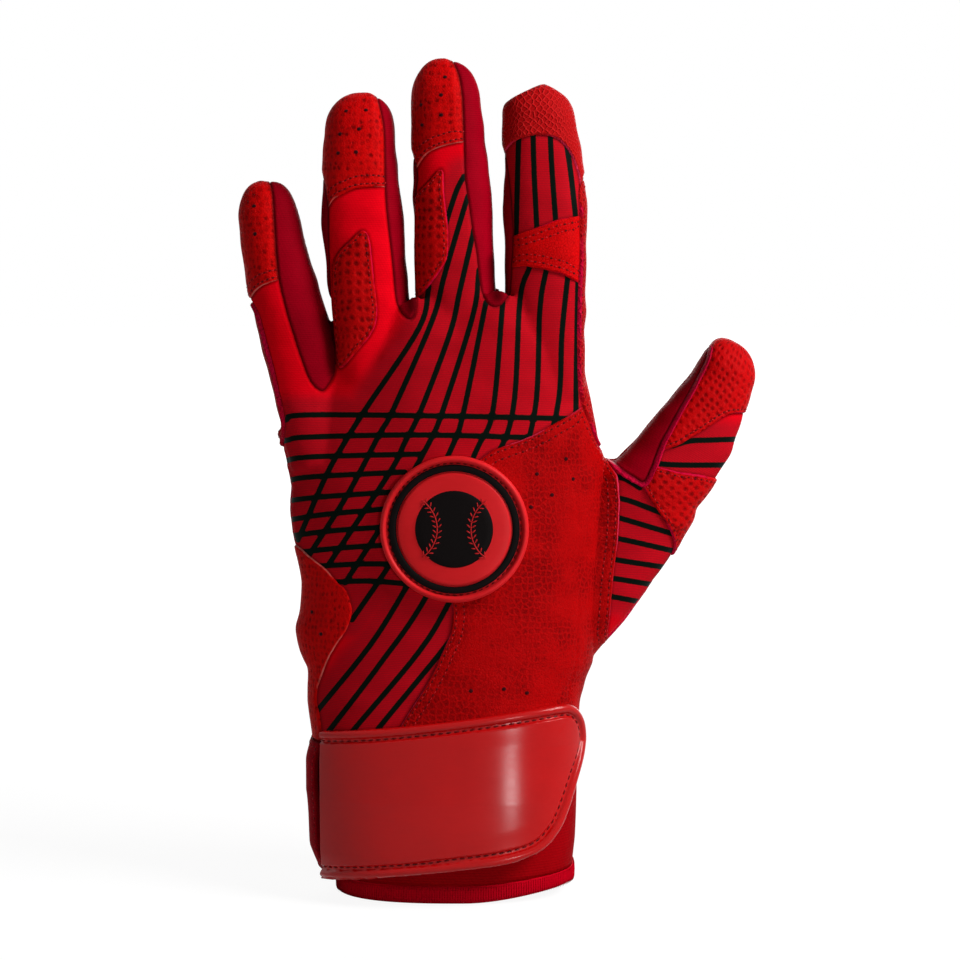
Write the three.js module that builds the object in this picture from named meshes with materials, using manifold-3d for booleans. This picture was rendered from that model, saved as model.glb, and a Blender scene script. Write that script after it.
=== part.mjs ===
// Batting glove for a left hand, standing on its cuff hem as if a hand filled it.
// Millimetres and degrees. +Z runs from the hem to the fingertips, +X is the thumb side and +Y the palm,
// so the back of the hand looks along -Y. The origin is the middle of the wrist opening, on the hem's foot.
import * as THREE from "three";
import { mergeVertices } from "three/addons/utils/BufferGeometryUtils.js";
import Module from "manifold-3d";

const wasm = await Module();
wasm.setup();

// Cloth and leather
const WALL = 1.2; // leather and stretch panels
const CUFF_WALL = 2.2; // lined neoprene wristband
const OVERLAY = 0.9; // leather patches sewn on top of a panel
const SEAM_GAP = 0.3; // clearance left along every seam and under every overlay
const FLEX_GAP = 0.5; // clearance across every flex line
const SECTION_POWER = 2.5; // roundness of the hand and finger sections, where 2 is an ellipse

// Cuff, from the hem up
const HEM_HEIGHT = 5.6;
const CUFF_TOP = 44;
const HEM_PROUD = 0.5; // the rolled binding stands this far outside the wristband
const CUFF_RINGS = [
  { height: HEM_HEIGHT, ulnar: 34, radial: 33.2, dorsal: 21.3, palmar: 21.3 },
  { height: 14, ulnar: 38.2, radial: 33.8, dorsal: 22, palmar: 21.8 },
  { height: 29, ulnar: 40.8, radial: 34.2, dorsal: 22, palmar: 22 },
  { height: CUFF_TOP, ulnar: 40.8, radial: 34, dorsal: 21.5, palmar: 21.5 },
];

// Hand, as rings between the cuff and the knuckle line. Each reach is measured from the wrist axis.
const HAND_RINGS = [
  { rise: 0, ulnar: 40.8, radial: 34, dorsal: 21.5, palmar: 21.5 },
  { rise: 0.18, ulnar: 43, radial: 37.2, dorsal: 20.6, palmar: 21 },
  { rise: 0.36, ulnar: 45, radial: 39.4, dorsal: 19.6, palmar: 20 },
  { rise: 0.56, ulnar: 45.6, radial: 40.8, dorsal: 18.2, palmar: 17.8 },
  { rise: 0.76, ulnar: 47.6, radial: 40.4, dorsal: 16.8, palmar: 14.8 },
  { rise: 0.92, ulnar: 49.4, radial: 38, dorsal: 14.6, palmar: 11 },
  { rise: 1, ulnar: 49.8, radial: 36.6, dorsal: 11.6, palmar: 7 },
];
const PALM_SEAM = 1.5; // depth of the seam between the palm leather and the back

// Knuckle line across the hand, which the crotches between the fingers sit on: [across, height].
const KNUCKLE_LINE = [
  [-53, 128],
  [-44, 139],
  [-34.2, 144],
  [-23.6, 157],
  [-12.2, 163],
  [0.4, 166],
  [12.3, 167],
  [24.3, 164],
  [37, 150],
  [60, 128],
];

// Digits. Their base is where they flex: [across, height], on the axis. Lean is towards the thumb.
// Half widths and half depths are given at the base, the middle and the start of the rounded tip.
const DIGITS = {
  pinky: {
    base: [-43.9, 151.2], depth: -1.5, lean: -11.6, bow: -1.5, length: 51.4, curl: 5,
    halfWidths: [9.3, 9.6, 8.5], halfDepths: [8.6, 8.4, 7.4], tip: 10, flexLine: 19,
    ulnarSeam: -7.6, radialSeam: -0.6, palmSeam: 3.2, capStart: 19.6, wraps: "ulnar",
  },
  ring: {
    base: [-23.6, 166.6], depth: -2.4, lean: -3.2, bow: -0.9, length: 59.4, curl: 6,
    halfWidths: [10.9, 11, 9.4], halfDepths: [9.6, 9.2, 8], tip: 11, flexLine: 24.4,
    ulnarSeam: -9.6, radialSeam: 6.6, palmSeam: 3.6, capStart: 32.6, wraps: "none",
  },
  middle: {
    base: [0.1, 170.8], depth: -2.6, lean: -2.9, bow: 0.4, length: 65, curl: 7,
    halfWidths: [11.3, 11, 9.6], halfDepths: [9.8, 9.4, 8.2], tip: 12, flexLine: 27,
    ulnarSeam: -9.8, radialSeam: 4.2, palmSeam: 3.6, capStart: 39.6, wraps: "none",
  },
  index: {
    base: [24.3, 170.8], depth: -2.4, lean: -0.9, bow: 0.4, length: 57.2, curl: 6,
    halfWidths: [11.7, 11.7, 10.8], halfDepths: [9.8, 9.4, 8.2], tip: 9.5, flexLine: 24,
    ulnarSeam: -8.4, radialSeam: 9.4, palmSeam: 3.6, capStart: 40, wraps: "radial",
  },
  thumb: {
    base: [56.7, 115.6], depth: 4, lean: 30.3, bow: 2.2, length: 45.6, curl: 4,
    halfWidths: [12.8, 11.6, 8.8], halfDepths: [11.6, 10.4, 8.6], tip: 10, flexLine: 15,
    ulnarSeam: -4.6, radialSeam: 10.6, palmSeam: 4, capStart: 15, wraps: "radial",
  },
};
const ROOT_DEPTH = 30; // how far a finger's tube runs down inside the hand
// The thumb's root widens into the web and fades out down the ball of the thumb. Each row is a place along
// the thumb, then the reaches towards the web, away from it, to the back and to the palm.
const THUMB_ROOT = [
  [-66, 6, 5, 5, 6],
  [-54, 12, 8.6, 9.4, 10.6],
  [-38, 17.6, 12.8, 11.6, 13],
  [-16, 18.6, 13.8, 12, 12.6],
  [-5, 16.8, 13.4, 11.8, 12],
];
// The stretch panel over the thumb's knuckle is a wedge: [across, along] on its lower and upper seams.
const THUMB_KNUCKLE = { lower: [[-16, 3], [16, 10.4]], upper: [[0.4, 15], [11, 30.4]] };

// Overlays on the fingers, in each finger's own frame: across from its axis, along from its flex line.
const RING_PATCH = { left: -8, right: 2, low: 1.2, high: 20 };
const MIDDLE_PATCH = { left: -8.4, right: 1, low: 1.2, high: 24 };
const INDEX_BAND = { left: -8.6, right: 10.6, low: 4.6, high: 20.8, slope: 3 };

// Seams across the back of the hand, as points the sewn line runs through: [across, height].
const THUMB_PANEL_SEAM = [
  [42, 142.5],
  [13.7, 125.4],
  [2, 112],
  [-0.8, 98],
  [-0.3, 84.6],
  [-4.5, 72.8],
  [-13, 51],
  [-17, 41],
];
const ULNAR_PATCH_SEAM = [
  [-56, 108],
  [-45.6, 104.6],
  [-35.3, 92.4],
  [-29.4, 80],
  [-34.4, 66],
  [-38.6, 50],
  [-39.6, 41],
];
const WEB_SEAM = [
  [45.4, 118.6],
  [52, 117],
  [57.7, 109.6],
  [60.8, 101],
  [60, 93],
  [70, 84],
];
const WEB_INNER_SEAM = [
  [41, 50],
  [42.6, 74],
  [43.8, 84],
  [44.8, 101],
];
const THUMB_CROTCH = [42.4, 127.6];

// Badge on the back of the hand
const BADGE_CENTRE = [-0.3, 105];
const BADGE_RADIUS = 20.2;
const BADGE_RIM = 1.8;
const BADGE_GROOVE = 0.6; // clear channel between the rim and the dark ring
const BADGE_RING_WIDTH = 1.9;
const BADGE_BASE_THICKNESS = 1.8;
const BADGE_INLAY = 0.6;

// Wrist strap and its hook and loop pads
const STRAP_THICKNESS = 1.9;
const PAD_THICKNESS = 0.8;
const STRAP_START_HIGH = -40.2; // sewn end at its upper and lower edge, across from the wrist axis
const STRAP_START_LOW = -36.2;
const STRAP_END = 36; // free end
const STRAP_LOW = 7.8; // lower and upper edges at the sewn end
const STRAP_HIGH = 45.4;
const STRAP_LOW_RISE = 5; // how much those edges climb towards the free end
const STRAP_HIGH_RISE = 8.4;
const STRAP_CORNER = 5; // upper corner of the free end
const STRAP_SWEEP = 15; // the lower corner is cut back in a long curve
const STRAP_ANCHOR_GAP = 0.7; // from the sewn end to the tab that holds it, which wraps the ulnar edge
const STRAP_ANCHOR_PALM = 7; // and this far round to the palm
const PAD_SIZE = { left: 3, right: 27.5, low: 18, high: 41, corner: 4 };
const PALM_PATCH_SIZE = { left: -36, right: 12, low: 52, high: 98, corner: 12 };

// Facets
const AROUND = 20; // round a digit
const HAND_AROUND = 28; // round the hand and the cuff
const TIP_ROWS = 4;
const CURVE_STEPS = 16; // along a seam
const DISC_STEPS = 30;
const CUT_TOLERANCE = 0.05; // edges shorter than this, left by a cut, are closed up
const FAR = 120; // reach of a cutter that is to pass right through

// Materials
const finish = (colour, roughness) => new THREE.MeshStandardMaterial({ color: colour, roughness, metalness: 0 });
const LEATHER = finish("#c40a0e", 0.6);
const STRETCH = finish("#cf0a1c", 0.7);
const GUSSET = finish("#8e0614", 0.8);
const RUBBER = finish("#b92a2c", 0.3);
const DARK_RUBBER = finish("#0b0908", 0.4);
const BINDING = finish("#9c0518", 0.8);
const HOOK_TAPE = finish("#5c0a10", 0.9);

const rad = THREE.MathUtils.degToRad;
const lerp = THREE.MathUtils.lerp;

// Solids

function solidOf(geometry) {
  const bare = geometry.clone();
  bare.deleteAttribute("normal");
  bare.deleteAttribute("uv");
  const merged = mergeVertices(bare, 1e-4);
  const mesh = new wasm.Mesh({
    numProp: 3,
    vertProperties: merged.attributes.position.array,
    triVerts: new Uint32Array(merged.index.array),
  });
  return new wasm.Manifold(mesh);
}

function geometryOf(solid) {
  const mesh = solid.simplify(CUT_TOLERANCE).getMesh();
  const geometry = new THREE.BufferGeometry();
  geometry.setAttribute("position", new THREE.BufferAttribute(mesh.vertProperties, 3));
  geometry.setIndex(new THREE.BufferAttribute(mesh.triVerts, 1));
  return geometry;
}

// The largest body of a cut, without the slivers that a cut can leave beside it.
function mainBody(solid) {
  return solid.decompose().reduce((best, body) => (body.volume() > best.volume() ? body : best));
}

function join(solids) {
  return solids.reduce((sum, solid) => sum.add(solid));
}

// A closed tube through rings of equally many points, with an end point below the first and above the last.
function loft(rings, foot, head) {
  const count = rings[0].length;
  const points = [...rings.flat(), foot, head];
  const footIndex = points.length - 2;
  const headIndex = points.length - 1;
  const index = [];
  for (let i = 0; i < count; i++) {
    const next = (i + 1) % count;
    index.push(footIndex, next, i);
    for (let row = 0; row + 1 < rings.length; row++) {
      const low = row * count;
      const high = low + count;
      index.push(low + i, low + next, high + next, low + i, high + next, high + i);
    }
    const last = (rings.length - 1) * count;
    index.push(headIndex, last + i, last + next);
  }
  const geometry = new THREE.BufferGeometry().setFromPoints(points);
  geometry.setIndex(index);
  return solidOf(geometry);
}

// A rounded section: reaches are [towards -X, +X, -Y, +Y] from the centre.
function sectionPoint(angle, [left, right, back, front]) {
  const power = 2 / SECTION_POWER;
  const across = Math.cos(angle);
  const deep = Math.sin(angle);
  const x = Math.sign(across) * Math.abs(across) ** power * (across < 0 ? left : right);
  const y = Math.sign(deep) * Math.abs(deep) ** power * (deep < 0 ? back : front);
  return [x, y];
}

const box = (low, high) => {
  const size = new THREE.Vector3().subVectors(high, low);
  const geometry = new THREE.BoxGeometry(size.x, size.y, size.z);
  geometry.translate(low.x + size.x / 2, low.y + size.y / 2, low.z + size.z / 2);
  return solidOf(geometry);
};

const halfSpace = (axis, sign, place) => {
  const low = new THREE.Vector3(-2 * FAR, -2 * FAR, -2 * FAR);
  const high = new THREE.Vector3(2 * FAR, 2 * FAR, 3 * FAR);
  (sign > 0 ? low : high)[axis] = place;
  return box(low, high);
};

// Outlines, in the X-Z plane as seen from the back of the hand

function counterClockwise(points) {
  return THREE.ShapeUtils.area(points) < 0 ? [...points].reverse() : points;
}

function grown(outline, distance) {
  const points = counterClockwise(outline);
  return points.map((point, i) => {
    const before = points[(i + points.length - 1) % points.length];
    const after = points[(i + 1) % points.length];
    const first = point.clone().sub(before).normalize();
    const second = after.clone().sub(point).normalize();
    const mitre = new THREE.Vector2(first.y + second.y, -first.x - second.x);
    return point.clone().addScaledVector(mitre, (2 * distance) / mitre.lengthSq());
  });
}

const vectors = (pairs) => pairs.map(([x, y]) => new THREE.Vector2(x, y));
const spline = (pairs) => new THREE.SplineCurve(vectors(pairs)).getPoints(CURVE_STEPS);

function circle([x, z], radius) {
  const steps = Array.from({ length: DISC_STEPS }, (_, i) => (2 * Math.PI * i) / DISC_STEPS);
  return steps.map((angle) => new THREE.Vector2(x + radius * Math.cos(angle), z + radius * Math.sin(angle)));
}

function rectangle({ left, right, low, high, corner = 0 }) {
  const shape = new THREE.Shape();
  shape.moveTo(left + corner, low);
  shape.lineTo(right - corner, low);
  shape.quadraticCurveTo(right, low, right, low + corner);
  shape.lineTo(right, high - corner);
  shape.quadraticCurveTo(right, high, right - corner, high);
  shape.lineTo(left + corner, high);
  shape.quadraticCurveTo(left, high, left, high - corner);
  shape.lineTo(left, low + corner);
  shape.quadraticCurveTo(left, low, left + corner, low);
  return tidy(shape.getPoints(corner ? 4 : 1));
}

function tidy(points) {
  const apart = (p, i) => p.distanceTo(points[(i + points.length - 1) % points.length]) > 1e-3;
  return points.filter(apart);
}

// The outline pushed through from -Y to +Y.
function prism(outline) {
  const shape = new THREE.Shape(counterClockwise(outline));
  const geometry = new THREE.ExtrudeGeometry(shape, { depth: 2 * FAR, bevelEnabled: false });
  geometry.rotateX(rad(90));
  geometry.translate(0, FAR, 0);
  return solidOf(geometry);
}

const dorsalOf = (solid, place = PALM_SEAM - SEAM_GAP / 2) => solid.intersect(halfSpace("y", -1, place));
const palmarOf = (solid, place = PALM_SEAM + SEAM_GAP / 2) => solid.intersect(halfSpace("y", 1, place));

// Digits, each in its own frame: X across, Y to the palm, Z along, from its flex line

function between(values, share) {
  const place = THREE.MathUtils.clamp(share, 0, 1) * (values.length - 1);
  const low = Math.min(Math.floor(place), values.length - 2);
  return lerp(values[low], values[low + 1], place - low);
}

function digitCentre(digit, along) {
  const share = THREE.MathUtils.clamp(along / digit.length, 0, 1);
  return [digit.bow * Math.sin(Math.PI * share), digit.depth + digit.curl * share ** 2];
}

function digitRing(digit, along, reaches) {
  const [x, y] = digitCentre(digit, along);
  return Array.from({ length: AROUND }, (_, i) => {
    const [across, deep] = sectionPoint((2 * Math.PI * i) / AROUND, reaches);
    return new THREE.Vector3(x + across, y + deep, along);
  });
}

function digitReaches(digit, along, grow, shrink = 1) {
  const share = along / (digit.length - digit.tip);
  const halfWidth = (between(digit.halfWidths, share) + grow) * shrink;
  const halfDepth = (between(digit.halfDepths, share) + grow) * shrink;
  return [halfWidth, halfWidth, halfDepth, halfDepth];
}

// A digit's tube with its rounded tip, grown outwards by a distance, on the root rows it is given.
function digitTube(digit, grow, root = [[-ROOT_DEPTH, ...digitReaches(digit, 0, 0)]]) {
  const tipStart = digit.length - digit.tip;
  const rootAlong = root[0][0] - grow;
  const rings = root.map(([along, ...reaches], i) => {
    const place = i === 0 ? rootAlong : along;
    return digitRing(digit, place, reaches.map((reach) => reach + grow));
  });
  for (const share of [0, 0.25, 0.5, 0.75]) {
    const along = share * tipStart;
    rings.push(digitRing(digit, along, digitReaches(digit, along, grow)));
  }
  for (let i = 0; i < TIP_ROWS; i++) {
    const angle = (Math.PI / 2) * (i / TIP_ROWS);
    const along = tipStart + (digit.tip + grow) * Math.sin(angle);
    const shrink = Math.cos(angle) ** (2 / SECTION_POWER);
    rings.push(digitRing(digit, along, digitReaches(digit, along, grow, shrink)));
  }
  const [footX, footY] = digitCentre(digit, rootAlong);
  const [headX, headY] = digitCentre(digit, digit.length);
  const foot = new THREE.Vector3(footX, footY, rootAlong);
  const head = new THREE.Vector3(headX, headY, digit.length + grow);
  return loft(rings, foot, head);
}

const digitFrame = (digit) => {
  const turn = new THREE.Matrix4().makeRotationY(rad(digit.lean));
  return turn.setPosition(digit.base[0], 0, digit.base[1]);
};

const placed = (solid, matrix) => solid.transform(matrix.elements);

// Everything in front of a digit's palm seam, or behind it, following the digit's curl.
function palmSide(digit, place) {
  const rows = Array.from({ length: 9 }, (_, i) => (i / 8) * digit.length);
  const seam = rows.map((along) => [along, digitCentre(digit, along)[1] + digit.palmSeam + place]);
  const first = seam[0][1];
  const last = seam[seam.length - 1][1];
  const side = [[-FAR, first], ...seam, [FAR, last], [FAR, FAR], [-FAR, FAR]];
  const shape = new THREE.Shape(counterClockwise(vectors(side)));
  const geometry = new THREE.ExtrudeGeometry(shape, { depth: 2 * FAR, bevelEnabled: false });
  // The outline is drawn along and deep: turn it so that along is Z, deep is Y and the depth is X.
  geometry.applyMatrix4(new THREE.Matrix4().set(0, 0, -1, FAR, 0, 1, 0, 0, 1, 0, 0, 0, 0, 0, 0, 1));
  return solidOf(geometry);
}

const slab = (low, high) => halfSpace("z", 1, low).intersect(halfSpace("z", -1, high));

// The walls of a digit, cut along its seams: front leather, back, and the gusset on each side that has one.
function digitWalls(digit) {
  const half = SEAM_GAP / 2;
  const shell = digitTube(digit, 0).subtract(digitTube(digit, -WALL));
  const beyond = {
    ulnar: (gap) => halfSpace("x", -1, digit.ulnarSeam - gap),
    radial: (gap) => halfSpace("x", 1, digit.radialSeam + gap),
  };
  const behind = shell.subtract(palmSide(digit, -half));
  const walls = {
    back: behind.subtract(beyond.ulnar(-half)).subtract(beyond.radial(-half)),
    front: shell.intersect(palmSide(digit, half)),
    ulnar: behind.intersect(beyond.ulnar(half)),
    radial: behind.intersect(beyond.radial(half)),
  };
  // On an outer edge the front leather folds round to the back seam, with no gusset.
  if (digit.wraps !== "none") {
    walls.front = shell.intersect(palmSide(digit, half).add(beyond[digit.wraps](half)));
    delete walls[digit.wraps];
  }
  return walls;
}

// A patch laid on a digit's back, cut to an outline.
function digitOverlay(digit, outline) {
  const layer = digitTube(digit, SEAM_GAP + OVERLAY).subtract(digitTube(digit, SEAM_GAP));
  return mainBody(layer.subtract(palmSide(digit, -digit.palmSeam)).intersect(prism(outline)));
}

// Hand and cuff

const knuckleHeight = (across) => {
  const after = KNUCKLE_LINE.findIndex(([x]) => x > across);
  const high = THREE.MathUtils.clamp(after < 0 ? KNUCKLE_LINE.length - 1 : after, 1, KNUCKLE_LINE.length - 1);
  const [x0, z0] = KNUCKLE_LINE[high - 1];
  const [x1, z1] = KNUCKLE_LINE[high];
  return lerp(z0, z1, THREE.MathUtils.clamp((across - x0) / (x1 - x0), 0, 1));
};

function wristRing({ ulnar, radial, dorsal, palmar }, grow, heightOf) {
  const reaches = [ulnar + grow, radial + grow, dorsal + grow, palmar + grow];
  return Array.from({ length: HAND_AROUND }, (_, i) => {
    const [x, y] = sectionPoint((2 * Math.PI * i) / HAND_AROUND, reaches);
    return new THREE.Vector3(x, y, heightOf(x));
  });
}

// The hand without its digits, from the cuff to the knuckle line.
function palmSolid(grow, drop) {
  const rings = HAND_RINGS.map((ring) =>
    wristRing(ring, grow, (x) => lerp(CUFF_TOP + SEAM_GAP - drop, knuckleHeight(x) + grow, ring.rise)),
  );
  const foot = new THREE.Vector3(0, 0, CUFF_TOP + SEAM_GAP - drop);
  const head = new THREE.Vector3(0, 0, knuckleHeight(0) + grow);
  return loft(rings, foot, head);
}

// The whole hand, with the roots of its digits up to their flex lines.
function handSolid(grow, { drop = 0, pastFlexLines = 0 } = {}) {
  const roots = Object.entries(DIGITS).map(([name, digit]) => {
    const tube = name === "thumb" ? digitTube(digit, grow, THUMB_ROOT) : digitTube(digit, grow);
    return placed(tube.intersect(halfSpace("z", -1, pastFlexLines - FLEX_GAP / 2)), digitFrame(digit));
  });
  return join([palmSolid(grow, drop), ...roots]).intersect(halfSpace("z", 1, CUFF_TOP + SEAM_GAP - drop));
}

function cuffSolid(grow, drop) {
  const rings = CUFF_RINGS.map((ring, i) => {
    const end = i === 0 ? -drop : i === CUFF_RINGS.length - 1 ? drop : 0;
    return wristRing(ring, grow, () => ring.height + end);
  });
  const foot = new THREE.Vector3(0, 0, CUFF_RINGS[0].height - drop);
  const head = new THREE.Vector3(0, 0, CUFF_TOP + drop);
  return loft(rings, foot, head);
}

// Pieces of the hand

function handPanels() {
  const shell = handSolid(0).subtract(handSolid(-WALL, { drop: 1, pastFlexLines: 4 }));
  const webEdge = spline(WEB_SEAM);
  const webInner = spline(WEB_INNER_SEAM);
  const [crotchX, crotchZ] = THUMB_CROTCH;
  const outer = (point) => new THREE.Vector2(FAR, point.y);
  const sideOf = (seam, side) => [...seam, ...vectors([[side * FAR, seam.at(-1).y], [side * FAR, seam[0].y]])];
  const aboveCrotch = vectors([[FAR, crotchZ + FAR], [crotchX, crotchZ + FAR], [crotchX, crotchZ]]);
  const outlines = {
    web_gusset: [...webEdge, outer(webEdge.at(-1)), outer(webInner[0]), ...webInner],
    thumb_band_lower: [...webEdge, outer(webEdge.at(-1)), ...aboveCrotch],
    ulnar_patch: sideOf(spline(ULNAR_PATCH_SEAM), -1),
    thumb_side_panel: sideOf(spline(THUMB_PANEL_SEAM), 1),
  };
  let rest = dorsalOf(shell);
  const panels = {};
  for (const [name, outline] of Object.entries(outlines)) {
    panels[name] = mainBody(rest.intersect(prism(outline)));
    rest = rest.subtract(prism(grown(outline, SEAM_GAP)));
  }
  panels.back_panel = mainBody(rest);
  panels.palm_leather = mainBody(palmarOf(shell));
  return panels;
}

// A layer over the hand from one height above its skin to another.
const handLayer = (low, high) => handSolid(high, { drop: 2 }).subtract(handSolid(low, { drop: 3 }));
const cuffLayer = (low, high) => cuffSolid(high, high).subtract(cuffSolid(low, high + 1));

function badge() {
  const seat = SEAM_GAP;
  const top = seat + BADGE_BASE_THICKNESS;
  const inlay = top + SEAM_GAP;
  const disc = (radius) => prism(circle(BADGE_CENTRE, radius));
  const rimSolid = disc(BADGE_RADIUS).subtract(disc(BADGE_RADIUS - BADGE_RIM));
  const plate = dorsalOf(handLayer(seat, top).intersect(disc(BADGE_RADIUS)));
  const rim = dorsalOf(handLayer(seat, inlay + BADGE_INLAY).intersect(rimSolid));
  const inlaid = dorsalOf(handLayer(inlay, inlay + BADGE_INLAY));
  const ringOutside = BADGE_RADIUS - BADGE_RIM - BADGE_GROOVE;
  const ringInside = ringOutside - BADGE_RING_WIDTH;
  return {
    badge_base: plate.add(rim),
    badge_ring: inlaid.intersect(disc(ringOutside).subtract(disc(ringInside))),
    badge_face: inlaid.intersect(disc(ringInside - SEAM_GAP)),
  };
}

function cuff() {
  const shell = cuffSolid(0, 0).subtract(cuffSolid(-CUFF_WALL, 1));
  const top = HEM_HEIGHT - SEAM_GAP;
  const hemTube = (grow, low, high) => {
    const rings = [low, high].map((height) => wristRing(CUFF_RINGS[0], HEM_PROUD + grow, () => height));
    return loft(rings, new THREE.Vector3(0, 0, low), new THREE.Vector3(0, 0, high));
  };
  const roll = CUFF_WALL + 2 * HEM_PROUD;
  return { cuff: shell, hem_binding: hemTube(0, 0, top).subtract(hemTube(-roll, -1, top + 1)) };
}

function strapOutline() {
  const climb = (rise, x) => (rise * (x + STRAP_END)) / (2 * STRAP_END);
  const low = (x) => STRAP_LOW + climb(STRAP_LOW_RISE, x);
  const high = (x) => STRAP_HIGH + climb(STRAP_HIGH_RISE, x);
  const shape = new THREE.Shape();
  const sweepStart = STRAP_END - 1.6 * STRAP_SWEEP;
  shape.moveTo(STRAP_START_LOW, low(STRAP_START_LOW));
  shape.lineTo(sweepStart, low(sweepStart));
  const corner = [STRAP_END - 0.25 * STRAP_SWEEP, low(STRAP_END)];
  shape.quadraticCurveTo(...corner, STRAP_END - 0.1 * STRAP_SWEEP, low(STRAP_END) + 1.3 * STRAP_SWEEP);
  shape.lineTo(STRAP_END, high(STRAP_END) - STRAP_CORNER);
  shape.quadraticCurveTo(STRAP_END, high(STRAP_END), STRAP_END - STRAP_CORNER, high(STRAP_END - STRAP_CORNER));
  shape.lineTo(STRAP_START_HIGH, high(STRAP_START_HIGH));
  return tidy(shape.getPoints(6));
}

function strapPieces() {
  const loopTop = SEAM_GAP + PAD_THICKNESS;
  const hookTop = loopTop + SEAM_GAP + PAD_THICKNESS;
  const strapSeat = hookTop + SEAM_GAP;
  const outline = strapOutline();
  // The wristband's form runs on up into the hand's, so the strap's top corner has something to follow.
  const bodyLayer = (low, high) => cuffLayer(low, high).add(handLayer(low, high));
  const wrapped = (low, high, shape) => mainBody(dorsalOf(bodyLayer(low, high).intersect(prism(shape)), 0));
  const padShape = prism(rectangle(PAD_SIZE));
  const pad = (low, high) => mainBody(dorsalOf(cuffLayer(low, high).intersect(padShape), 0));
  const tabShape = vectors([
    [-FAR, STRAP_LOW],
    [STRAP_START_LOW - STRAP_ANCHOR_GAP, STRAP_LOW],
    [STRAP_START_HIGH - STRAP_ANCHOR_GAP, CUFF_TOP],
    [-FAR, CUFF_TOP],
  ]);
  const tab = cuffLayer(SEAM_GAP, hookTop).intersect(prism(grown(tabShape, -SEAM_GAP)));
  return {
    loop_pad: pad(SEAM_GAP, loopTop),
    hook_pad: pad(loopTop + SEAM_GAP, hookTop),
    strap: wrapped(strapSeat, strapSeat + STRAP_THICKNESS, outline),
    strap_anchor: mainBody(dorsalOf(tab, STRAP_ANCHOR_PALM)),
  };
}

function palmPatch() {
  const layer = handLayer(SEAM_GAP, SEAM_GAP + OVERLAY);
  return mainBody(palmarOf(layer.intersect(prism(rectangle(PALM_PATCH_SIZE)))));
}

// The glove

const glove = new THREE.Group();

function addTo(group, name, solid, material) {
  const mesh = new THREE.Mesh(geometryOf(solid), material);
  mesh.name = name;
  group.add(mesh);
}

const panels = handPanels();
const panelMaterials = { back_panel: STRETCH, web_gusset: STRETCH };
for (const [name, solid] of Object.entries(panels)) {
  addTo(glove, name, solid, panelMaterials[name] ?? LEATHER);
}
addTo(glove, "palm_patch", palmPatch(), LEATHER);

const badgePieces = badge();
addTo(glove, "badge_base", badgePieces.badge_base, RUBBER);
addTo(glove, "badge_ring", badgePieces.badge_ring, DARK_RUBBER);
addTo(glove, "badge_face", badgePieces.badge_face, RUBBER);

const cuffPieces = cuff();
addTo(glove, "cuff", cuffPieces.cuff, STRETCH);
addTo(glove, "hem_binding", cuffPieces.hem_binding, BINDING);

const strapMaterials = { strap: RUBBER, strap_anchor: BINDING, loop_pad: HOOK_TAPE, hook_pad: HOOK_TAPE };
for (const [name, solid] of Object.entries(strapPieces())) {
  addTo(glove, name, solid, strapMaterials[name]);
}

for (const [name, digit] of Object.entries(DIGITS)) {
  const group = new THREE.Group();
  group.position.set(digit.base[0], 0, digit.base[1]);
  group.rotation.y = rad(digit.lean);
  glove.add(group);

  const half = FLEX_GAP / 2;
  const lower = slab(half, digit.flexLine - half);
  const upper = slab(digit.flexLine + half, FAR);
  const walls = digitWalls(digit);
  const gussets = { ulnar: walls.ulnar, radial: walls.radial };
  addTo(group, `${name}_front_lower`, mainBody(walls.front.intersect(lower)), LEATHER);
  addTo(group, `${name}_front_upper`, mainBody(walls.front.intersect(upper)), LEATHER);
  for (const [side, wall] of Object.entries(gussets)) {
    if (!wall) continue;
    addTo(group, `${name}_${side}_gusset_lower`, mainBody(wall.intersect(lower)), GUSSET);
    addTo(group, `${name}_${side}_gusset_upper`, mainBody(wall.intersect(upper)), GUSSET);
  }

  const capLine = Math.max(digit.capStart, digit.flexLine) + half;
  const capWall = walls.back.intersect(slab(capLine, FAR));
  if (name === "thumb") {
    const [[nearX, nearZ], [farX, farZ]] = THUMB_KNUCKLE.lower;
    const [[tipX, tipZ], [topX, topZ]] = THUMB_KNUCKLE.upper;
    const bandShape = vectors([[nearX, -FAR], [farX, -FAR], [farX, farZ], [nearX, nearZ]]);
    const wedgeShape = vectors([[tipX, tipZ], [farX, tipZ], [farX, topZ], [topX, topZ]]);
    const band = prism(bandShape);
    const belowKnuckle = prism(grown(bandShape, SEAM_GAP));
    addTo(group, "thumb_band_upper", mainBody(walls.back.intersect(lower).intersect(band)), LEATHER);
    addTo(group, "thumb_knuckle_lower", mainBody(walls.back.intersect(lower).subtract(belowKnuckle)), STRETCH);
    addTo(group, "thumb_knuckle_upper", mainBody(capWall.intersect(prism(wedgeShape))), STRETCH);
    addTo(group, "thumb_cap", mainBody(capWall.subtract(prism(grown(wedgeShape, SEAM_GAP)))), LEATHER);
  } else {
    addTo(group, `${name}_back_lower`, mainBody(walls.back.intersect(lower)), STRETCH);
    addTo(group, `${name}_cap`, mainBody(capWall), LEATHER);
  }
  const strip = slab(digit.flexLine + half, capLine - SEAM_GAP);
  if (capLine - digit.flexLine > 2) {
    addTo(group, `${name}_back_upper`, mainBody(walls.back.intersect(strip)), STRETCH);
  }

  if (name === "ring") addTo(group, "ring_patch", digitOverlay(digit, rectangle(RING_PATCH)), LEATHER);
  if (name === "middle") addTo(group, "middle_patch", digitOverlay(digit, rectangle(MIDDLE_PATCH)), LEATHER);
  if (name === "index") {
    const { left, right, low, high, slope } = INDEX_BAND;
    const outline = vectors([[left, low + slope], [right, low], [right, high], [left, high - slope]]);
    addTo(group, "index_band", digitOverlay(digit, outline), LEATHER);
  }
}

export default glove;
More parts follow.
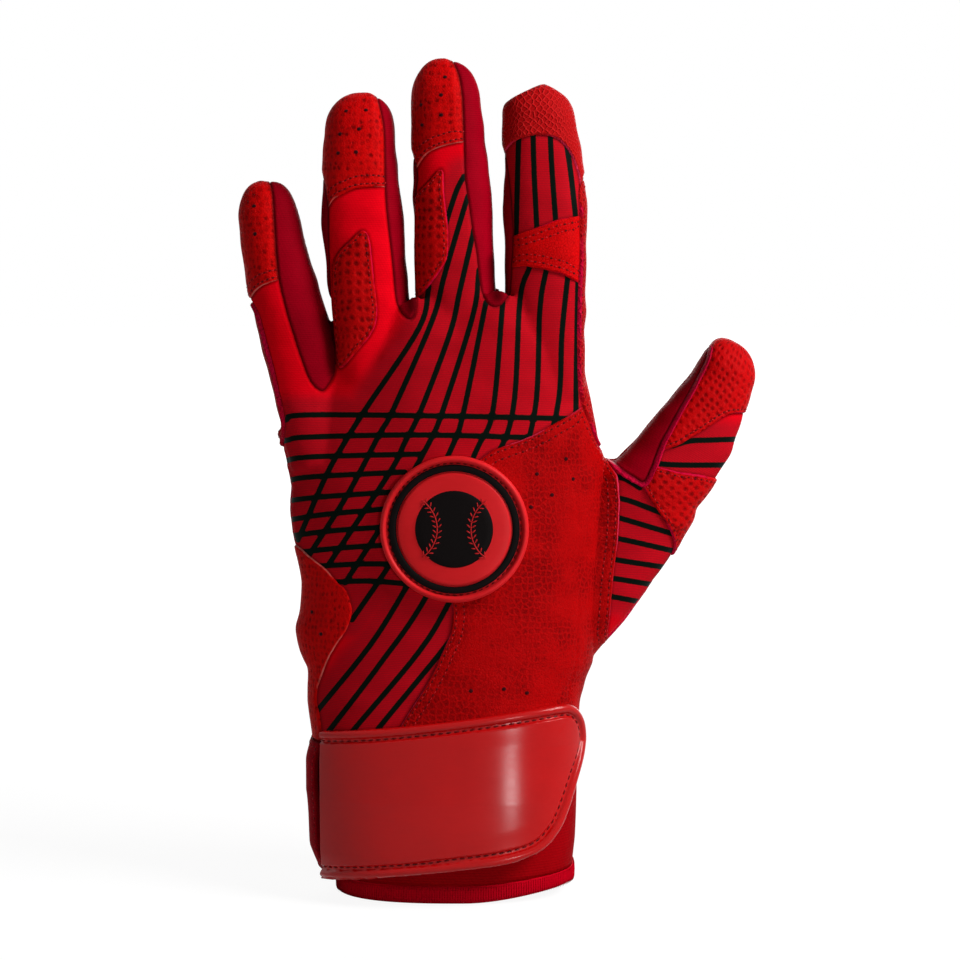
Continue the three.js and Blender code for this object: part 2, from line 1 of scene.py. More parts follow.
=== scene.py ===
"""Looks of a batting glove for the left hand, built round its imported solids.

Lengths are millimetres while a piece is made and metres in its mesh. +Z runs to the fingertips, +X is the
thumb side and -Y the back of the hand. Outlines on the back are drawn as the camera sees them, in picture
points of a 960-point frame, and are laid on the glove's surface from there.
"""

from __future__ import annotations

import logging
import math
from collections.abc import Sequence
from dataclasses import dataclass, field
from enum import Enum
from functools import reduce

import bpy
import numpy as np
from bpy.types import Material, Mesh, Node, NodeSocket, NodeTree, Object
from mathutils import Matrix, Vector
from mathutils.bvhtree import BVHTree

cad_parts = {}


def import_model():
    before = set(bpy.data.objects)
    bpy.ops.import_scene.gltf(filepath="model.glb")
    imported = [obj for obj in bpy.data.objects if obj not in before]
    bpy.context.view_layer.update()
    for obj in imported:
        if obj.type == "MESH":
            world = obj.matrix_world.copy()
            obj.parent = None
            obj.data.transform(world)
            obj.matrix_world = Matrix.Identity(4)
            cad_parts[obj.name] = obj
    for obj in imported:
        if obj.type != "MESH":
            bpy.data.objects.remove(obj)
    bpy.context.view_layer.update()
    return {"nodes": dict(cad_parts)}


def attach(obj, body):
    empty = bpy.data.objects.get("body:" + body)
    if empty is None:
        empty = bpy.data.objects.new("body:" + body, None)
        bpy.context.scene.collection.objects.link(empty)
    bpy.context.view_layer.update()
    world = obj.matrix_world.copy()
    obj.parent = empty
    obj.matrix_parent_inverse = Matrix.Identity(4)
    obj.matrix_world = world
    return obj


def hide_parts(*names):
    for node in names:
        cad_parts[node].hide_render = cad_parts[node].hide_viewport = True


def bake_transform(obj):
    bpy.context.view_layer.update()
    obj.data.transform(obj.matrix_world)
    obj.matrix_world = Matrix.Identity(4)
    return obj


LOG = logging.getLogger("glove")
MM = 0.001
TURN = 2 * math.pi
FAR = 9.0
SEAM_SHADE = 0.4
EDGES = "DISTANCE_TO_EDGE"
SECTION_POWER = 2 / 2.5
Array = np.ndarray
Pair = tuple[float, float]
Line = tuple[Pair, ...]
Triple = tuple[float, float, float]
Colour = tuple[float, float, float, float]
Solids = dict[str, tuple[str, ...]]


def linear(red: int, green: int, blue: int) -> Colour:
    """Turns a screen colour of 0 to 255 into the linear colour a shader takes."""
    parts = [value / 255 for value in (red, green, blue)]
    return *(p / 12.92 if p <= 0.04045 else ((p + 0.055) / 1.055) ** 2.4 for p in parts), 1.0


def seam_shadow_colour(colour: Colour) -> Colour:
    """Painted shade: the colour darkened as for a surface lying in shadow down in a seam."""
    return *(SEAM_SHADE * part for part in colour[:3]), 1.0


def smoothstep(low: float, high: float, value: Array) -> Array:
    """Eases from 0 at low to 1 at high."""
    share = np.clip((value - low) / (high - low), 0, 1)
    return share * share * (3 - 2 * share)


def bell(value: Array, middle: float, width: float) -> Array:
    """A smooth hump of height 1 round a middle."""
    return np.exp(-(((value - middle) / width) ** 2))


def round_angles(count: int) -> Array:
    """Angles evenly round a whole turn."""
    return np.linspace(0, TURN, count, endpoint=False)


def circle(radius: float, angles: Array) -> Array:
    """Places on a circle round the middle of a plane."""
    return np.stack([radius * np.cos(angles), radius * np.sin(angles)], 1)


def unit(rows: Array) -> Array:
    """Makes each row a direction of length 1."""
    return rows / np.maximum(np.linalg.norm(rows, axis=-1, keepdims=True), 1e-12)


def curve(points: Sequence[Pair], closed: bool = False, steps: int = 8) -> Array:
    """Runs a smooth line through points.

    Args:
        points: The points the line goes through.
        closed: Whether the line comes back to its first point.
        steps: Places on the line for each pair of points.

    Returns:
        The line's places, one to a row.
    """
    knots = np.asarray(points, float)
    if closed:
        knots = np.vstack([knots[-1], knots, knots[:2]])
    else:
        knots = np.vstack([2 * knots[0] - knots[1], knots, 2 * knots[-1] - knots[-2]])
    share = np.linspace(0, 1, steps, endpoint=False)[:, None]
    runs = []
    for a, b, c, d in zip(knots, knots[1:], knots[2:], knots[3:]):
        cubic = 2 * b + (c - a) * share + (2 * a - 5 * b + 4 * c - d) * share**2
        runs.append(0.5 * (cubic + (3 * b - a - 3 * c + d) * share**3))
    if not closed:
        runs.append(knots[-2:-1])
    return np.vstack(runs)


def line_distance(places: Array, line: Array) -> Array:
    """Measures how far each place is from a line of short straight runs.

    Args:
        places: Places in the plane, one to a row.
        line: The line's points in order.

    Returns:
        A distance for each place.
    """
    best = np.full(len(places), np.inf)
    for start, end in zip(line[:-1], line[1:]):
        run = end - start
        offset = places - start
        share = np.clip(offset @ run / max(run @ run, 1e-12), 0, 1)
        best = np.minimum(best, ((offset - share[:, None] * run) ** 2).sum(1))
    return np.sqrt(best)


def inside_distance(places: Array, outline: Array) -> Array:
    """Measures how far each place is inside a closed outline.

    Args:
        places: Places in the plane, one to a row.
        outline: The outline's corners in order.

    Returns:
        A distance for each place, which is negative outside the outline.
    """
    ring = np.vstack([outline, outline[:1]])
    within = np.zeros(len(places), bool)
    x, z = places.T
    for (x0, z0), (x1, z1) in zip(ring[:-1], ring[1:]):
        if z0 != z1:
            within ^= ((z0 > z) != (z1 > z)) & (x < (x1 - x0) * (z - z0) / (z1 - z0) + x0)
    distance = line_distance(places, ring)
    return np.where(within, distance, -distance)


def ripple(points: Array, wave: float, seed: int, stretch: Triple, waves: int = 7) -> Array:
    """Gentle uneven waves through space, as slack cloth has.

    Args:
        points: Where the waves are read.
        wave: Length of a wave.
        seed: Fixes the waves.
        stretch: How much faster the waves run along each axis.
        waves: How many waves are laid over each other.

    Returns:
        A height for each point, about from -1 to 1.
    """
    rng = np.random.default_rng(seed)
    total = np.zeros(len(points))
    for _ in range(waves):
        way = rng.normal(size=3)
        way = way / np.linalg.norm(way) * np.asarray(stretch) * rng.uniform(0.7, 1.4)
        total += np.sin(points @ way * (TURN / wave) + rng.uniform(0, 6.28))
    return total / 3.2


@dataclass
class Sheet:
    """A triangulated surface in millimetres, with named values at its points."""

    points: Array
    faces: Array
    values: dict[str, Array] = field(default_factory=dict)

    def __getitem__(self, name: str) -> Array:
        """Reads a named value."""
        return self.values[name]

    def __setitem__(self, name: str, value: Array) -> None:
        """Keeps a named value."""
        self.values[name] = value

    def copy(self) -> Sheet:
        """The same surface, with a list of values of its own."""
        return Sheet(self.points, self.faces, dict(self.values))

    def sides(self) -> Array:
        """The three sides of each face, in the face's direction."""
        return self.faces[:, [0, 1, 1, 2, 2, 0]].reshape(-1, 2)

    def edge_keys(self) -> Array:
        """One number for each side of each face, the same for both faces that share it."""
        sides = np.sort(self.sides(), axis=1)
        return sides[:, 0].astype(np.int64) * len(self.points) + sides[:, 1]

    def corners(self, values: Array) -> list[Array]:
        """A value at each face's first, second and third corner."""
        return [values[self.faces[:, i]] for i in range(3)]

    def normals(self, points: Array | None = None) -> Array:
        """The points' outward directions, in their own places or in others."""
        a, b, c = self.corners(self.points if points is None else points)
        return unit(self.gathered(np.cross(b - a, c - a)))

    def gathered(self, per_face: Array) -> Array:
        """Sums the faces' rows at their points."""
        count, corners = len(self.points), self.faces.T
        return np.stack([sum(np.bincount(c, row, count) for c in corners) for row in per_face.T], axis=1)

    def smoothed(self, values: Array, passes: int, keep: float = 0.0) -> Array:
        """Evens values out over the surface.

        Args:
            values: One row for each point.
            passes: How often each point moves towards its neighbours.
            keep: How much of each move is taken back, so that the form doesn't shrink.

        Returns:
            The evened values.
        """
        count = len(self.points)
        low, high = np.divmod(np.unique(self.edge_keys()), count)
        near = np.maximum(np.bincount(low, minlength=count) + np.bincount(high, minlength=count), 1)
        even = values.reshape(count, -1).astype(float)
        for _ in range(passes):
            for share in (0.5, -keep) if keep else (0.5,):
                for column in even.T:
                    total = np.bincount(low, column[high], count) + np.bincount(high, column[low], count)
                    column += share * (total / near - column)
        return even.reshape(values.shape)

    def measured(self, values: Array) -> Array:
        """Turns a value that falls to 0 at a seam into the distance from the seam over the surface.

        Args:
            values: A number for each point.

        Returns:
            A distance for each point.
        """
        a, b, c = self.corners(self.points)
        fa, fb, fc = self.corners(values)
        p, q, df, dg = b - a, c - a, fb - fa, fc - fa
        pp, pq, qq = (p * p).sum(1), (p * q).sum(1), (q * q).sum(1)
        area = np.maximum(pp * qq - pq * pq, 1e-12)
        steep = np.sqrt(np.maximum(qq * df * df - 2 * pq * df * dg + pp * dg * dg, 0) / area)
        weight = np.sqrt(area)
        sums = self.gathered(np.stack([steep * weight, weight], axis=1))
        return values / np.clip(sums[:, 0] / np.maximum(sums[:, 1], 1e-12), 0.3, 4)

    def keep(self, faces: Array) -> Sheet:
        """Takes the faces that are marked, and their points."""
        used, index = np.unique(self.faces[faces], return_inverse=True)
        return Sheet(self.points[used], index.reshape(-1, 3), {k: v[used] for k, v in self.values.items()})

    def side(self, name: str, above: bool = True) -> Sheet:
        """Takes the faces on which a value is above 0, or those on which it isn't."""
        mean = self[name][self.faces].mean(1)
        return self.keep(mean > 0 if above else mean <= 0)

    def split(self, name: str, *levels: float) -> Sheet:
        """Cuts faces along the lines on which a value has certain levels, or along the one where it is 0."""
        return reduce(lambda sheet, level: sheet.split_once(name, level), levels or (0.0,), self)

    def split_once(self, name: str, level: float) -> Sheet:
        """Cuts faces along one line.

        Args:
            name: The value.
            level: Its level on the line.

        Returns:
            The sheet, with points along the line.
        """
        count = len(self.points)
        height = self[name] - level
        if height.min() >= 0 or height.max() <= 0:
            return self
        keys, index = np.unique(self.edge_keys(), return_inverse=True)
        low, high = np.divmod(keys, count)
        for _ in range(2):
            crossing = height[low] * height[high] < 0
            share = np.where(crossing, height[low] / (height[low] - height[high] + 1e-30), 0.5)
            height[low[crossing & (share < 0.12)]] = 0
            height[high[crossing & (share > 0.88)]] = 0
        cut = np.flatnonzero(height[low] * height[high] < 0)
        share = (height[low[cut]] / (height[low[cut]] - height[high[cut]]))[:, None]
        added = np.full(len(keys), -1)
        added[cut] = count + np.arange(len(cut))
        middle = added[index.reshape(-1, 3)]
        cuts = (middle >= 0).sum(1)

        def turned(rows: Array, first: Array) -> Array:
            """Turns each face's three numbers until one of them is first."""
            return np.take_along_axis(rows, (first[:, None] + np.arange(3)) % 3, 1).T

        def grown(value: Array) -> Array:
            """Adds a value's places on the cut."""
            part = share if value.ndim > 1 else share[:, 0]
            return np.concatenate([value, value[low[cut]] * (1 - part) + value[high[cut]] * part])

        one, two = cuts == 1, cuts == 2
        first = np.argmax(middle[one] >= 0, axis=1)
        (a, b, c), m = turned(self.faces[one], first), turned(middle[one], first)[0]
        pieces = [(a, m, c), (m, b, c)]
        first = np.argmax(middle[two] < 0, axis=1) + 2
        (a, b, c), (near, _, far) = turned(self.faces[two], first), turned(middle[two], first)
        pieces += [(a, near, far), (near, b, c), (near, c, far)]
        faces = np.vstack([self.faces[cuts == 0], *(np.stack(piece, 1) for piece in pieces)])
        values = {key: grown(value) for key, value in self.values.items()}
        values[name][:count] = height + level
        values[name][count:] = level
        return Sheet(grown(self.points), faces, values)

    def rim(self) -> Array:
        """The sides that belong to one face only, each in that face's direction."""
        _, index, times = np.unique(self.edge_keys(), return_inverse=True, return_counts=True)
        return self.sides()[times[index] == 1]

    def contours(self, name: str, level: float) -> list[Array]:
        """Follows the lines on which a value has a level.

        Args:
            name: The value.
            level: Its level on the lines.

        Returns:
            Each line as rows of a place and an outward direction on the sheet's outer face.
        """
        cut = self.split(name, level)
        on = np.abs(cut[name] - level) < 1e-9
        sides = np.unique(np.sort(cut.sides(), axis=1), axis=0)
        near: dict[int, list[int]] = {}
        for a, b in sides[on[sides].all(1)].tolist():
            near.setdefault(a, []).append(b)
            near.setdefault(b, []).append(a)
        rows = np.hstack([cut["outer"], cut["out"]])
        lines, seen = [], set()
        for start in sorted(near, key=lambda point: (len(near[point]) != 1, point)):
            chain, place = [], start
            while place is not None and place not in seen:
                seen.add(place)
                chain.append(place)
                place = next((p for p in near[place] if p not in seen), None)
            if len(chain) > 3:
                lines.append(rows[chain])
        return lines


def joined(parts: Sequence[tuple[Array, Array]]) -> tuple[Array, Array]:
    """Lists the points and the faces of several surfaces as those of one."""
    starts = np.cumsum([0, *(len(points) for points, _ in parts[:-1])])
    return np.vstack([p for p, _ in parts]), np.vstack([f + start for (_, f), start in zip(parts, starts)])


def halved(*corners: Array) -> Array:
    """Cuts a grid of four-cornered faces into triangles, from each corner's grid of points."""
    a, b, c, d = (grid.ravel() for grid in corners)
    return np.vstack([np.stack([a, b, c], 1), np.stack([a, c, d], 1)])


def loft(rings: Array, closed: bool = True) -> Sheet:
    """Joins rings of equally many points into a tube.

    Args:
        rings: The rings' points, by ring and by place in it, anticlockwise from above.
        closed: Whether each end gets a middle point that closes it.

    Returns:
        The tube, facing outwards.
    """
    rows, count = rings.shape[:2]
    index = np.arange(rows * count).reshape(rows, count)
    after = np.roll(index, -1, axis=1)
    faces = [halved(index[:-1], after[:-1], after[1:], index[1:])]
    points = rings.reshape(-1, 3)
    if closed:
        points = np.vstack([points, rings[0].mean(0), rings[-1].mean(0)])
        foot, head = np.full(count, rows * count), np.full(count, rows * count + 1)
        faces += [np.stack([foot, after[0], index[0]], 1), np.stack([head, index[-1], after[-1]], 1)]
    return Sheet(points, np.vstack(faces))


def hoop(rings: Array) -> Sheet:
    """Joins rings, the first of which comes again at the end, into a closed hoop."""
    tube, count = loft(rings, closed=False), rings[:-1].size // 3
    return Sheet(tube.points[:count], tube.faces % count)


def rounded(part: Array, low: Array | float, high: Array | float) -> Array:
    """Swells a circle's sine or cosine to a squarer form of two reaches."""
    return np.sign(part) * np.abs(part) ** SECTION_POWER * np.where(part < 0, low, high)


def section(angle: Array, reaches: Sequence[Array | float]) -> tuple[Array, Array]:
    """A rounded outline's places across and deep, from how far it goes to -X, +X, -Y and +Y."""
    left, right, back, front = reaches
    return rounded(np.cos(angle), left, right), rounded(np.sin(angle), back, front)


class Signal:
    """A socket's value in a node tree, which sums and products can be made of."""

    def __init__(self, tree: Tree, socket: NodeSocket) -> None:
        """Wraps a socket."""
        self.tree = tree
        self.socket = socket

    def math(self, operation: str, *others: Signal | float, first: float | None = None) -> Signal:
        """A Math node's result on this value and others, or on a first number and this value."""
        terms = [self, *others] if first is None else [first, self]
        return self.tree.signal("ShaderNodeMath", {"operation": operation}, dict(enumerate(terms)))

    def __add__(self, other: Signal | float) -> Signal:
        """This value plus another."""
        return self.math("ADD", other)

    def __sub__(self, other: Signal | float) -> Signal:
        """This value less another."""
        return self.math("SUBTRACT", other)

    def __rsub__(self, other: float) -> Signal:
        """A number less this value."""
        return self.math("SUBTRACT", first=other)

    def __mul__(self, other: Signal | float) -> Signal:
        """This value times another."""
        return self.math("MULTIPLY", other)

    __radd__ = __add__
    __rmul__ = __mul__

    def sine(self, pitch: float) -> Signal:
        """Waves from 0 to 1 of a pitch along this value."""
        return (self * (TURN / pitch)).math("SINE") * 0.5 + 0.5

    def eased(self, low: float, high: float) -> Signal:
        """Eases from 0 where this value is low to 1 where it is high, which may be the lower of the two."""
        levels = {"From Min": low, "From Max": high, "Value": self}
        return self.tree.signal("ShaderNodeMapRange", {"interpolation_type": "SMOOTHSTEP"}, levels)


class Tree:
    """A node tree, to which one method adds nodes."""

    def __init__(self, tree: NodeTree) -> None:
        """Wraps a tree."""
        self.tree = tree

    def node(self, kind: str, settings: dict | None = None, inputs: dict | None = None) -> Node:
        """Adds a node.

        Args:
            kind: The node's type.
            settings: Its own settings, which are set first.
            inputs: Values, signals or sockets for its inputs, by name or place.

        Returns:
            The node.
        """
        node = self.tree.nodes.new(kind)
        for key, value in (settings or {}).items():
            setattr(node, key, value)
        self.feed(node, inputs or {})
        return node

    def feed(self, node: Node, inputs: dict) -> None:
        """Sets or links a node's inputs.

        Args:
            node: The node.
            inputs: Values, signals or sockets, by the input's name or place.
        """
        for key, value in inputs.items():
            source = value.socket if isinstance(value, Signal) else value
            if isinstance(source, NodeSocket):
                self.tree.links.new(source, node.inputs[key])
            else:
                node.inputs[key].default_value = source

    def signal(self, kind: str, settings: dict | None = None, inputs: dict | None = None) -> Signal:
        """Adds a node and gives its first output."""
        return Signal(self, self.node(kind, settings, inputs).outputs[0])

    def seen(self) -> Signal:
        """Reads whether the camera sees a place.

        Returns:
            1 where the camera sees it, straight or in a reflection.
        """
        path = self.node("ShaderNodeLightPath").outputs
        total = Signal(self, path["Is Camera Ray"])
        for name in ("Is Glossy Ray", "Is Transmission Ray"):
            total = total.math("MAXIMUM", Signal(self, path[name]))
        return total


class Shader(Tree):
    """A material's node tree."""

    def __init__(self, name: str) -> None:
        """Starts a material of one principled surface.

        Args:
            name: The material's name.
        """
        self.material = bpy.data.materials.new(name)
        self.material.use_nodes = True
        super().__init__(self.material.node_tree)
        self.surface = self.tree.nodes["Principled BSDF"]

    def finish(
        self, colour: Signal | Colour, rough: Signal | float, gloss: float, normal: Signal | None = None
    ) -> Material:
        """Feeds the surface.

        Args:
            colour: Its colour.
            rough: Its roughness.
            gloss: Its specular level.
            normal: Its relief, if it has any.

        Returns:
            The material.
        """
        self.feed(self.surface, {"Base Color": colour, "Roughness": rough, "Specular IOR Level": gloss})
        if normal:
            self.feed(self.surface, {"Normal": normal})
        return self.material

    def attribute(self, name: str, output: str = "Fac") -> Signal:
        """Reads one of the piece's own values."""
        return Signal(self, self.node("ShaderNodeAttribute", {"attribute_name": name}).outputs[output])

    def place(self) -> Signal:
        """The place on the piece, in metres."""
        return Signal(self, self.node("ShaderNodeTexCoord").outputs["Object"])

    def parts(self, vector: Signal) -> list[Signal]:
        """A vector's three numbers."""
        split = self.node("ShaderNodeSeparateXYZ", None, {0: vector})
        return [Signal(self, part) for part in split.outputs]

    def turned(self, vector: Signal, degrees: float, scale: Triple = (1, 1, 1)) -> Signal:
        """Turns and stretches places in their own plane."""
        inputs = {"Vector": vector, "Rotation": (0, 0, math.radians(degrees)), "Scale": scale}
        return self.signal("ShaderNodeMapping", None, inputs)

    def noise(self, place: Signal, scale: float, detail: float = 2.0) -> Signal:
        """Cloudy values about 0.5."""
        return self.signal("ShaderNodeTexNoise", None, {"Vector": place, "Scale": scale, "Detail": detail})

    def cells(self, place: Signal, pitch: float, loose: float, feature: str = "F1") -> Signal:
        """Distances from the middles or the edges of uneven cells, as shares of a pitch in millimetres."""
        inputs = {"Vector": place, "Scale": 1 / pitch, "Randomness": loose}
        return self.signal("ShaderNodeTexVoronoi", {"voronoi_dimensions": "2D", "feature": feature}, inputs)

    def mixed(self, share: Signal, first: Signal | Colour, second: Signal | Colour) -> Signal:
        """Mixes two colours."""
        node = self.node("ShaderNodeMix", {"data_type": "RGBA"}, {0: share, 6: first, 7: second})
        return Signal(self, node.outputs[2])

    def bump(self, height: Signal, depth: float, strength: float = 1.0) -> Signal:
        """A normal for a relief of a depth in millimetres."""
        inputs = {"Height": height, "Distance": depth * MM, "Strength": strength}
        return self.signal("ShaderNodeBump", None, inputs)


class Grain(Enum):
    """How a leather is embossed."""

    FINE = "fine"
    SCALE = "scale"
    MOTTLE = "mottle"
    DIMPLE = "dimple"
    NET = "net"


@dataclass(frozen=True)
class Finish:
    """What a piece is made of."""

    name: str
    slot: str
    colour: Colour
    dark: Colour

    def material(self) -> Material:
        """The finish's material, made once."""
        return bpy.data.materials.get(self.name) or self.dressed(Shader(self.name))

    def dressed(self, shader: Shader) -> Material:
        """Builds the material."""
        raise NotImplementedError


@dataclass(frozen=True)
class Knit(Finish):
    """Stretch cloth of fine ribs, with printed lines where it has ink, a paler tone round them that is partly
    painted sheen, and painted shade at its seams.
    """

    pitch: float = 0.5
    ink: Colour | None = None
    # The colour the cloth is mixed toward round the printed lines: partly the print's own paler tone, partly
    # painted sheen.
    lit: Colour = linear(138, 18, 30)
    relief: float = 0.07
    gloss: float = 0.012

    def dressed(self, shader: Shader) -> Material:
        """Builds the cloth's material.

        Args:
            shader: The material's tree.

        Returns:
            The material.
        """
        cloth = shader.attribute("cloth", "Vector")
        across, along, _ = shader.parts(cloth)
        cloud = shader.noise(cloth, 0.05, 3)
        fuzz = shader.noise(shader.turned(cloth, 0, (0.45, 2.4, 1)), 1.4, 2)
        rib = (along + cloud * 1.2).sine(self.pitch)
        loop = (across + along * 0.5).sine(self.pitch * 1.7)
        yarn = rib * 0.4 + fuzz * 0.45 + loop * 0.15
        shade = (yarn * 0.5 + cloud * 0.8 - 0.1).eased(0.1, 0.9)
        colour = shader.mixed(shade, self.dark, self.colour)
        # Painted shade: where the edge value is low, the cloth turns to its seam shadow colour. This happens
        # along seams, round the leather laid on it, down in the finger crotches and along the tab's edges.
        fold = shader.attribute("edge").eased(-0.15, 1.0)
        colour = shader.mixed(fold, seam_shadow_colour(self.dark), colour)
        rough = 0.7 - fuzz * 0.12
        if self.ink:
            ink = shader.attribute("ink")
            # Round the printed lines the cloth turns paler and pinker, with its ribs showing: partly the
            # print's tone, partly painted sheen.
            colour = shader.mixed(ink.eased(7, 2) * (0.4 + rib * 0.4), colour, self.lit)
            inked = (ink + (fuzz - 0.5) * 0.16).eased(0.1, -0.1)
            colour = shader.mixed(inked, colour, self.ink)
            rough = rough - inked * 0.12
        return shader.finish(colour, rough, self.gloss, shader.bump(yarn, self.relief, 0.6))


@dataclass(frozen=True)
class Leather(Finish):
    """Embossed leather with a paler cut edge, partly painted highlight, or a piped one, and painted shade
    where it runs into a seam.
    """

    grain: Grain = Grain.FINE
    pitch: float = 2.1
    turn: float = 0.0
    loose: float = 0.4
    # The cut edge's colour: either the piping's own colour or a pale rim that is partly painted highlight.
    edge: Colour = linear(206, 40, 74)
    edge_width: float = 0.3
    gloss: float = 0.035

    def dressed(self, shader: Shader) -> Material:
        """Builds the leather's material.

        Args:
            shader: The material's tree.

        Returns:
            The material.
        """
        cloth = shader.attribute("cloth", "Vector")
        cloud = shader.noise(cloth, 0.07, 3)
        pores = shader.noise(cloth, 1.3, 3)
        mark, relief = self.embossed(shader, shader.turned(cloth, self.turn), cloud, pores)
        shade = (mark * 0.85 + (cloud - 0.5) * 0.55 + 0.05).eased(0.0, 1.0)
        colour = shader.mixed(shade, self.colour, self.dark)
        # The line along the cut edge is piping on the palm. Elsewhere it is a paler rim, partly the cut
        # leather's own colour and partly painted highlight where the roll catches the light. Broad noise
        # breaks it up.
        inset = shader.attribute("cut") + (pores - 0.5) * 0.5 * self.edge_width
        cut = inset.eased(self.edge_width, self.edge_width * 0.55)
        colour = shader.mixed(cut * cloud.eased(0.38, 0.6), colour, self.edge)
        # Painted shade: the leather darkens where it runs into the seam at the back's rim.
        tucked = shader.attribute("edge").eased(-0.1, 0.9)
        colour = shader.mixed(tucked, seam_shadow_colour(self.dark), colour)
        rough = 0.46 + pores * 0.16 + mark * 0.12
        return shader.finish(colour, rough, self.gloss, shader.bump(relief, 0.3, 0.8))

    def embossed(self, shader: Shader, laid: Signal, cloud: Signal, pores: Signal) -> tuple[Signal, Signal]:
        """Builds the grain's dark marks and its relief.

        Args:
            shader: The material's tree.
            laid: Places in the direction that the grain runs.
            cloud: Broad unevenness.
            pores: Fine unevenness.

        Returns:
            How dark each place is, from 0 to 1, and how high it is.
        """
        pebble = shader.cells(laid, 0.8, 1.0, EDGES).eased(0.02, 0.16)
        if self.grain is Grain.DIMPLE:
            pits = shader.cells(laid, self.pitch, self.loose).eased(0.46, 0.06)
            worn = (cloud + pores * 0.3).eased(0.42, 0.78)
            mark = pits * (0.3 + worn * 0.45) + pores.eased(0.55, 0.75) * 0.25
            return mark, pebble * 0.2 + pores * 0.25 - pits
        if self.grain is Grain.NET:
            net = shader.cells(laid, self.pitch, self.loose, EDGES).eased(0.24, 0.02)
            return (1 - net) * (0.45 + pores * 0.5), net * 0.9 + pores * 0.25
        if self.grain is Grain.MOTTLE:
            flecks = shader.noise(shader.turned(laid, 6, (1.1, 0.8, 1)), 0.5, 2).eased(0.48, 0.72)
            pits = shader.cells(laid, self.pitch, self.loose).eased(0.54, 0.14)
            mark = flecks * 0.2 + pits * (0.36 + flecks * 0.42) + pores.eased(0.52, 0.75) * 0.2
            return mark, pebble * 0.35 + pores * 0.3 - mark * 0.6
        if self.grain is Grain.SCALE:
            scale = shader.cells(laid, self.pitch, self.loose, EDGES).eased(0.02, 0.26)
            patch = cloud.eased(0.4, 0.62)
            mark = 0.12 + scale * (0.08 + patch * 0.3) + pores.eased(0.46, 0.74) * 0.32
            return mark, pebble * 0.35 + pores * 0.35 - scale * (0.1 + patch * 0.25)
        return (1 - pebble) * 0.35 + pores.eased(0.5, 0.72) * 0.45, pebble * 0.4 + pores * 0.35


@dataclass(frozen=True)
class Rubber(Finish):
    """Moulded rubber with a soft gloss."""

    rough: float = 0.24
    gloss: float = 0.3

    def dressed(self, shader: Shader) -> Material:
        """Builds the rubber's material.

        Args:
            shader: The material's tree.

        Returns:
            The material.
        """
        place = shader.place()
        cloud = shader.noise(place, 60, 3)
        skin = shader.noise(place, 1400, 2)
        scuffs = shader.noise(shader.turned(place, 8, (0.25, 1, 2.2)), 700, 3)
        shade = (cloud * 0.9 + (scuffs - 0.5) * 0.25).eased(0.15, 0.85)
        colour = shader.mixed(shade, self.dark, self.colour)
        rough = self.rough + (scuffs - 0.5) * 0.1 + (cloud - 0.5) * 0.08
        return shader.finish(colour, rough, self.gloss, shader.bump(skin, 0.012, 0.3))


@dataclass(frozen=True)
class Pile(Finish):
    """Short pile or hooks on a woven tape."""

    pitch: float = 0.9
    gloss: float = 0.1

    def dressed(self, shader: Shader) -> Material:
        """Builds the tape's material.

        Args:
            shader: The material's tree.

        Returns:
            The material.
        """
        cloth = shader.attribute("cloth", "Vector")
        tuft = shader.cells(cloth, self.pitch, 0.8).eased(0.5, 0.05)
        fuzz = shader.noise(cloth, 2.6, 3)
        colour = shader.mixed(tuft * 0.7 + fuzz * 0.3, self.dark, self.colour)
        return shader.finish(colour, 0.75 + fuzz * 0.2, self.gloss, shader.bump(tuft + fuzz * 0.5, 0.5))


@dataclass(frozen=True)
class Thread(Finish):
    """Sewing thread, or a dark bead of painted shade that stands for the inside of a hole."""

    rough: float = 0.6
    gloss: float = 0.12

    def dressed(self, shader: Shader) -> Material:
        """Builds the thread's material.

        Args:
            shader: The material's tree.

        Returns:
            The material.
        """
        place = shader.place()
        twist = shader.noise(place, 2600, 2)
        cloud = shader.noise(place, 120, 2)
        colour = shader.mixed((twist * 0.6 + cloud * 0.4).eased(0.35, 0.65), self.dark, self.colour)
        return shader.finish(colour, self.rough + (twist - 0.5) * 0.2, self.gloss)


INK = linear(8, 17, 12)
PIPING = linear(190, 2, 50)
# A pale cut rim, partly painted highlight where the caps' rolled edges catch the light.
PALE_CUT_HIGHLIGHT = linear(206, 104, 96)
RED_KNIT = Knit("red_stretch", "stretch", linear(246, 2, 25), linear(202, 0, 14), ink=INK)
GUSSET_KNIT = Knit("crimson_gusset", "gusset", linear(158, 0, 24), linear(122, 0, 15), pitch=0.6)
CUFF_KNIT = Knit("cuff_cloth", "stretch", linear(160, 3, 11), linear(116, 0, 7), pitch=0.8)
BINDING = Knit("hem_binding", "binding", linear(206, 2, 30), linear(156, 0, 18), pitch=0.7)
TAB_CLOTH = Knit("tab_cloth", "binding", linear(178, 0, 24), linear(132, 0, 14), pitch=0.7)
PALM_LEATHER = Leather(
    "palm_leather", "leather", linear(184, 12, 16), linear(140, 0, 6),
    Grain.NET, pitch=1.6, turn=45, loose=0.6, edge=PIPING, edge_width=1.4,
)
PANEL_LEATHER = Leather(
    "panel_leather", "leather", linear(182, 2, 4), linear(112, 0, 2), Grain.SCALE, pitch=1.8, loose=0.7
)
PIPE_LEATHER = Leather("pipe_leather", "leather", PIPING, linear(150, 0, 34), edge=PIPING)
BAND_LEATHER = Leather("band_leather", "leather", linear(208, 2, 5), linear(150, 0, 2), edge=PIPING)
CAP_LEATHER = Leather(
    "cap_leather", "leather", linear(208, 4, 5), linear(126, 0, 1),
    Grain.MOTTLE, pitch=1.9, loose=0.5, edge=PALE_CUT_HIGHLIGHT,
)
